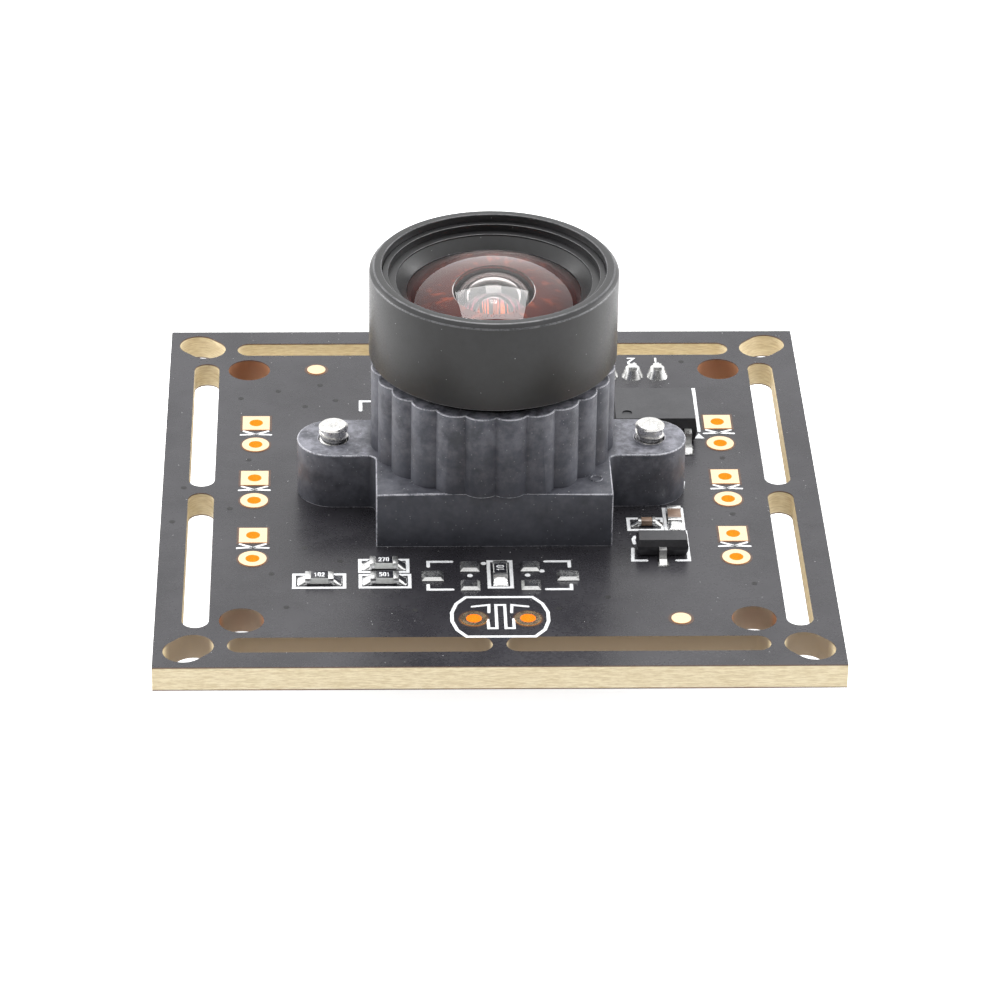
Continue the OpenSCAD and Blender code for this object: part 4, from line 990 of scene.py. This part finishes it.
# bare resin shows round each pad where the mask stops short, on both faces
square_ring, round_ring, sensor_ring, dot_ring = Shape(), Shape(), Shape(), Shape()
for z0, z1 in ((BOARD_TOP - SUNK, BOARD_TOP + RESIN_T), (-RESIN_T, SUNK)):
    washer(square_ring, (0, PAD_OUT), square_outline(0.78), square_outline(0.93), z0, z1)
    washer(round_ring, (0, -PAD_OUT), 0.78, 0.92, z0, z1)
    washer(sensor_ring, (0, 0), 0.73, 0.86, z0, z1)
washer(dot_ring, (0, 0), 0.53, 0.72, BOARD_TOP - SUNK, BOARD_TOP + RESIN_T)
repeat("square_openings", square_ring, lamps, "module", "board_mask", RESIN_RING)
repeat("round_openings", round_ring, lamps, "module", "board_mask", RESIN_RING)
repeat("sensor_openings", sensor_ring, [(-1.35, -14.15, 0), (1.65, -14.15, 0)], "module", "board_mask", RESIN_RING)
repeat("dot_openings", dot_ring, [(-10.15, 14.2, 0), (10.15, -14.2, 0)], "module", "board_mask", RESIN_RING)

# painted shade: black discs stand for the shade in the via holes
via = Shape().prism(circle(0.17, 12), BOARD_TOP - SUNK, BOARD_TOP + 0.006)
repeat("vias", via, [(x, y, 0) for x, y in (
    (-12.41, 11.59), (-9.92, 12.32), (-8.99, 10.47), (-10.81, 9.72), (-14.64, 10.71), (-14.07, 3.42),
    (-17.77, 0.24), (-15.07, -2.13), (-11.73, -12.85), (-8.75, -7.97), (-18.33, -3.57), (-10.74, -6.51),
    (13.7, 3.47), (13.83, -2.93), (14.5, -10.54), (12.01, 15.12), (8.41, 9.08), (-12.6, -9.3),
    (3.4, -13.1), (6.2, -11.9), (-4.6, -13.2), (4.9, 12.7), (-3.1, 12.2), (0.6, 13.1))],
    "module", "board_mask", HOLE_SHADE)

for node, density, seed in (("circuit_board", 1.2e5, 5), ("lens_mount", 6e5, 8)):
    grow(node + "_dust", CRUMBS, nodes[node].data.copy(), "module", "board_mask", DUST_GREY,
         Density=density, Size=0.035 * MM, Seed=seed)


# ---------------------------------------------------------------- floor, light and camera

def floor_finish():
    f = Finish("floor", (0.86, 0.86, 0.86), 0.6)
    slow = f.group(MOTTLE, Scale=0.02, Fine=0.1)
    f.set("Base Color", f.mix(f.span(slow, 0.3, 0.7), (0.86, 0.86, 0.86), (0.88, 0.88, 0.88)))
    # the camera sees the floor lit from below, as on a light table, so shadows on it stay faint
    f.set("Emission Strength", f.math("MULTIPLY", f.node("ShaderNodeLightPath").outputs["Is Camera Ray"], 0.8))
    f.shader.inputs["Emission Color"].default_value = (1, 1, 1, 1)
    return f.material


floor_mesh = bpy.data.meshes.new("floor")
reach = 3.0
level = cad_box[0].z
floor_mesh.from_pydata([(-reach, -reach, level), (reach, -reach, level), (reach, reach, level), (-reach, reach, level)],
                       [], [(0, 1, 2, 3)])
floor_mesh.materials.append(floor_finish())
floor = bpy.data.objects.new("floor", floor_mesh)
scene.collection.objects.link(floor)


def softbox(name, place, aim, size, watts):
    light = bpy.data.lights.new(name, "AREA")
    light.shape = "RECTANGLE"
    light.size, light.size_y = size
    light.energy = watts
    obj = bpy.data.objects.new(name, light)
    obj.location = place
    obj.rotation_mode = "QUATERNION"
    obj.rotation_quaternion = (Vector(aim) - Vector(place)).to_track_quat("-Z", "Y")
    scene.collection.objects.link(obj)


softbox("top_light", (0.0, 0.16, 0.42), (0, 0, 0), (0.30, 0.26), 1.7)
for side in (-1, 1):
    softbox(f"side_light_{side + 2}", (side * 0.3, 0.09, 0.07), (0, 0, 0.01), (0.2, 0.12), 0.55)

world = bpy.data.worlds.new("studio")
world.use_nodes = True
scene.world = world
sky = world.node_tree
# bright behind, above and at both sides, and dim towards the front
way = place_node(sky, "ShaderNodeTexCoord").outputs["Generated"]
back = place_node(sky, "ShaderNodeVectorMath", {"operation": "DOT_PRODUCT"},
                  i0=way, i1=(0.0, 0.75, 0.66)).outputs["Value"]
side = place_node(sky, "ShaderNodeMath", {"operation": "ABSOLUTE"},
                  i0=place_node(sky, "ShaderNodeSeparateXYZ", Vector=way).outputs["X"]).outputs[0]
toward = place_node(sky, "ShaderNodeMath", {"operation": "MULTIPLY_ADD"}, i0=side, i1=0.42, i2=back).outputs[0]
bright = place_node(sky, "ShaderNodeMapRange", {"interpolation_type": "SMOOTHSTEP"}, Value=toward,
                    From_Min=-0.4, From_Max=0.38, To_Min=0.07, To_Max=1.3).outputs[0]
sky.links.new(bright, sky.nodes["Background"].inputs["Strength"])
sky.nodes["Background"].inputs["Color"].default_value = (1.0, 1.0, 1.0, 1)

optics = bpy.data.cameras.new("camera")
optics.lens = 168.35
optics.sensor_width = 36
optics.clip_start, optics.clip_end = 0.01, 20
camera = bpy.data.objects.new("camera", optics)
scene.collection.objects.link(camera)
place = Vector((-8.608, -233.237, 139.327)) * MM
aim = Vector((0.4915, -1.2743, 1.5)) * MM
camera.location = place
camera.rotation_mode = "QUATERNION"
camera.rotation_quaternion = (aim - place).to_track_quat("-Z", "Y") @ Matrix.Rotation(
    math.radians(0.9474), 3, "Z").to_quaternion()
scene.camera = camera
scene.view_settings.view_transform = "Standard"
scene.view_settings.look = "None"
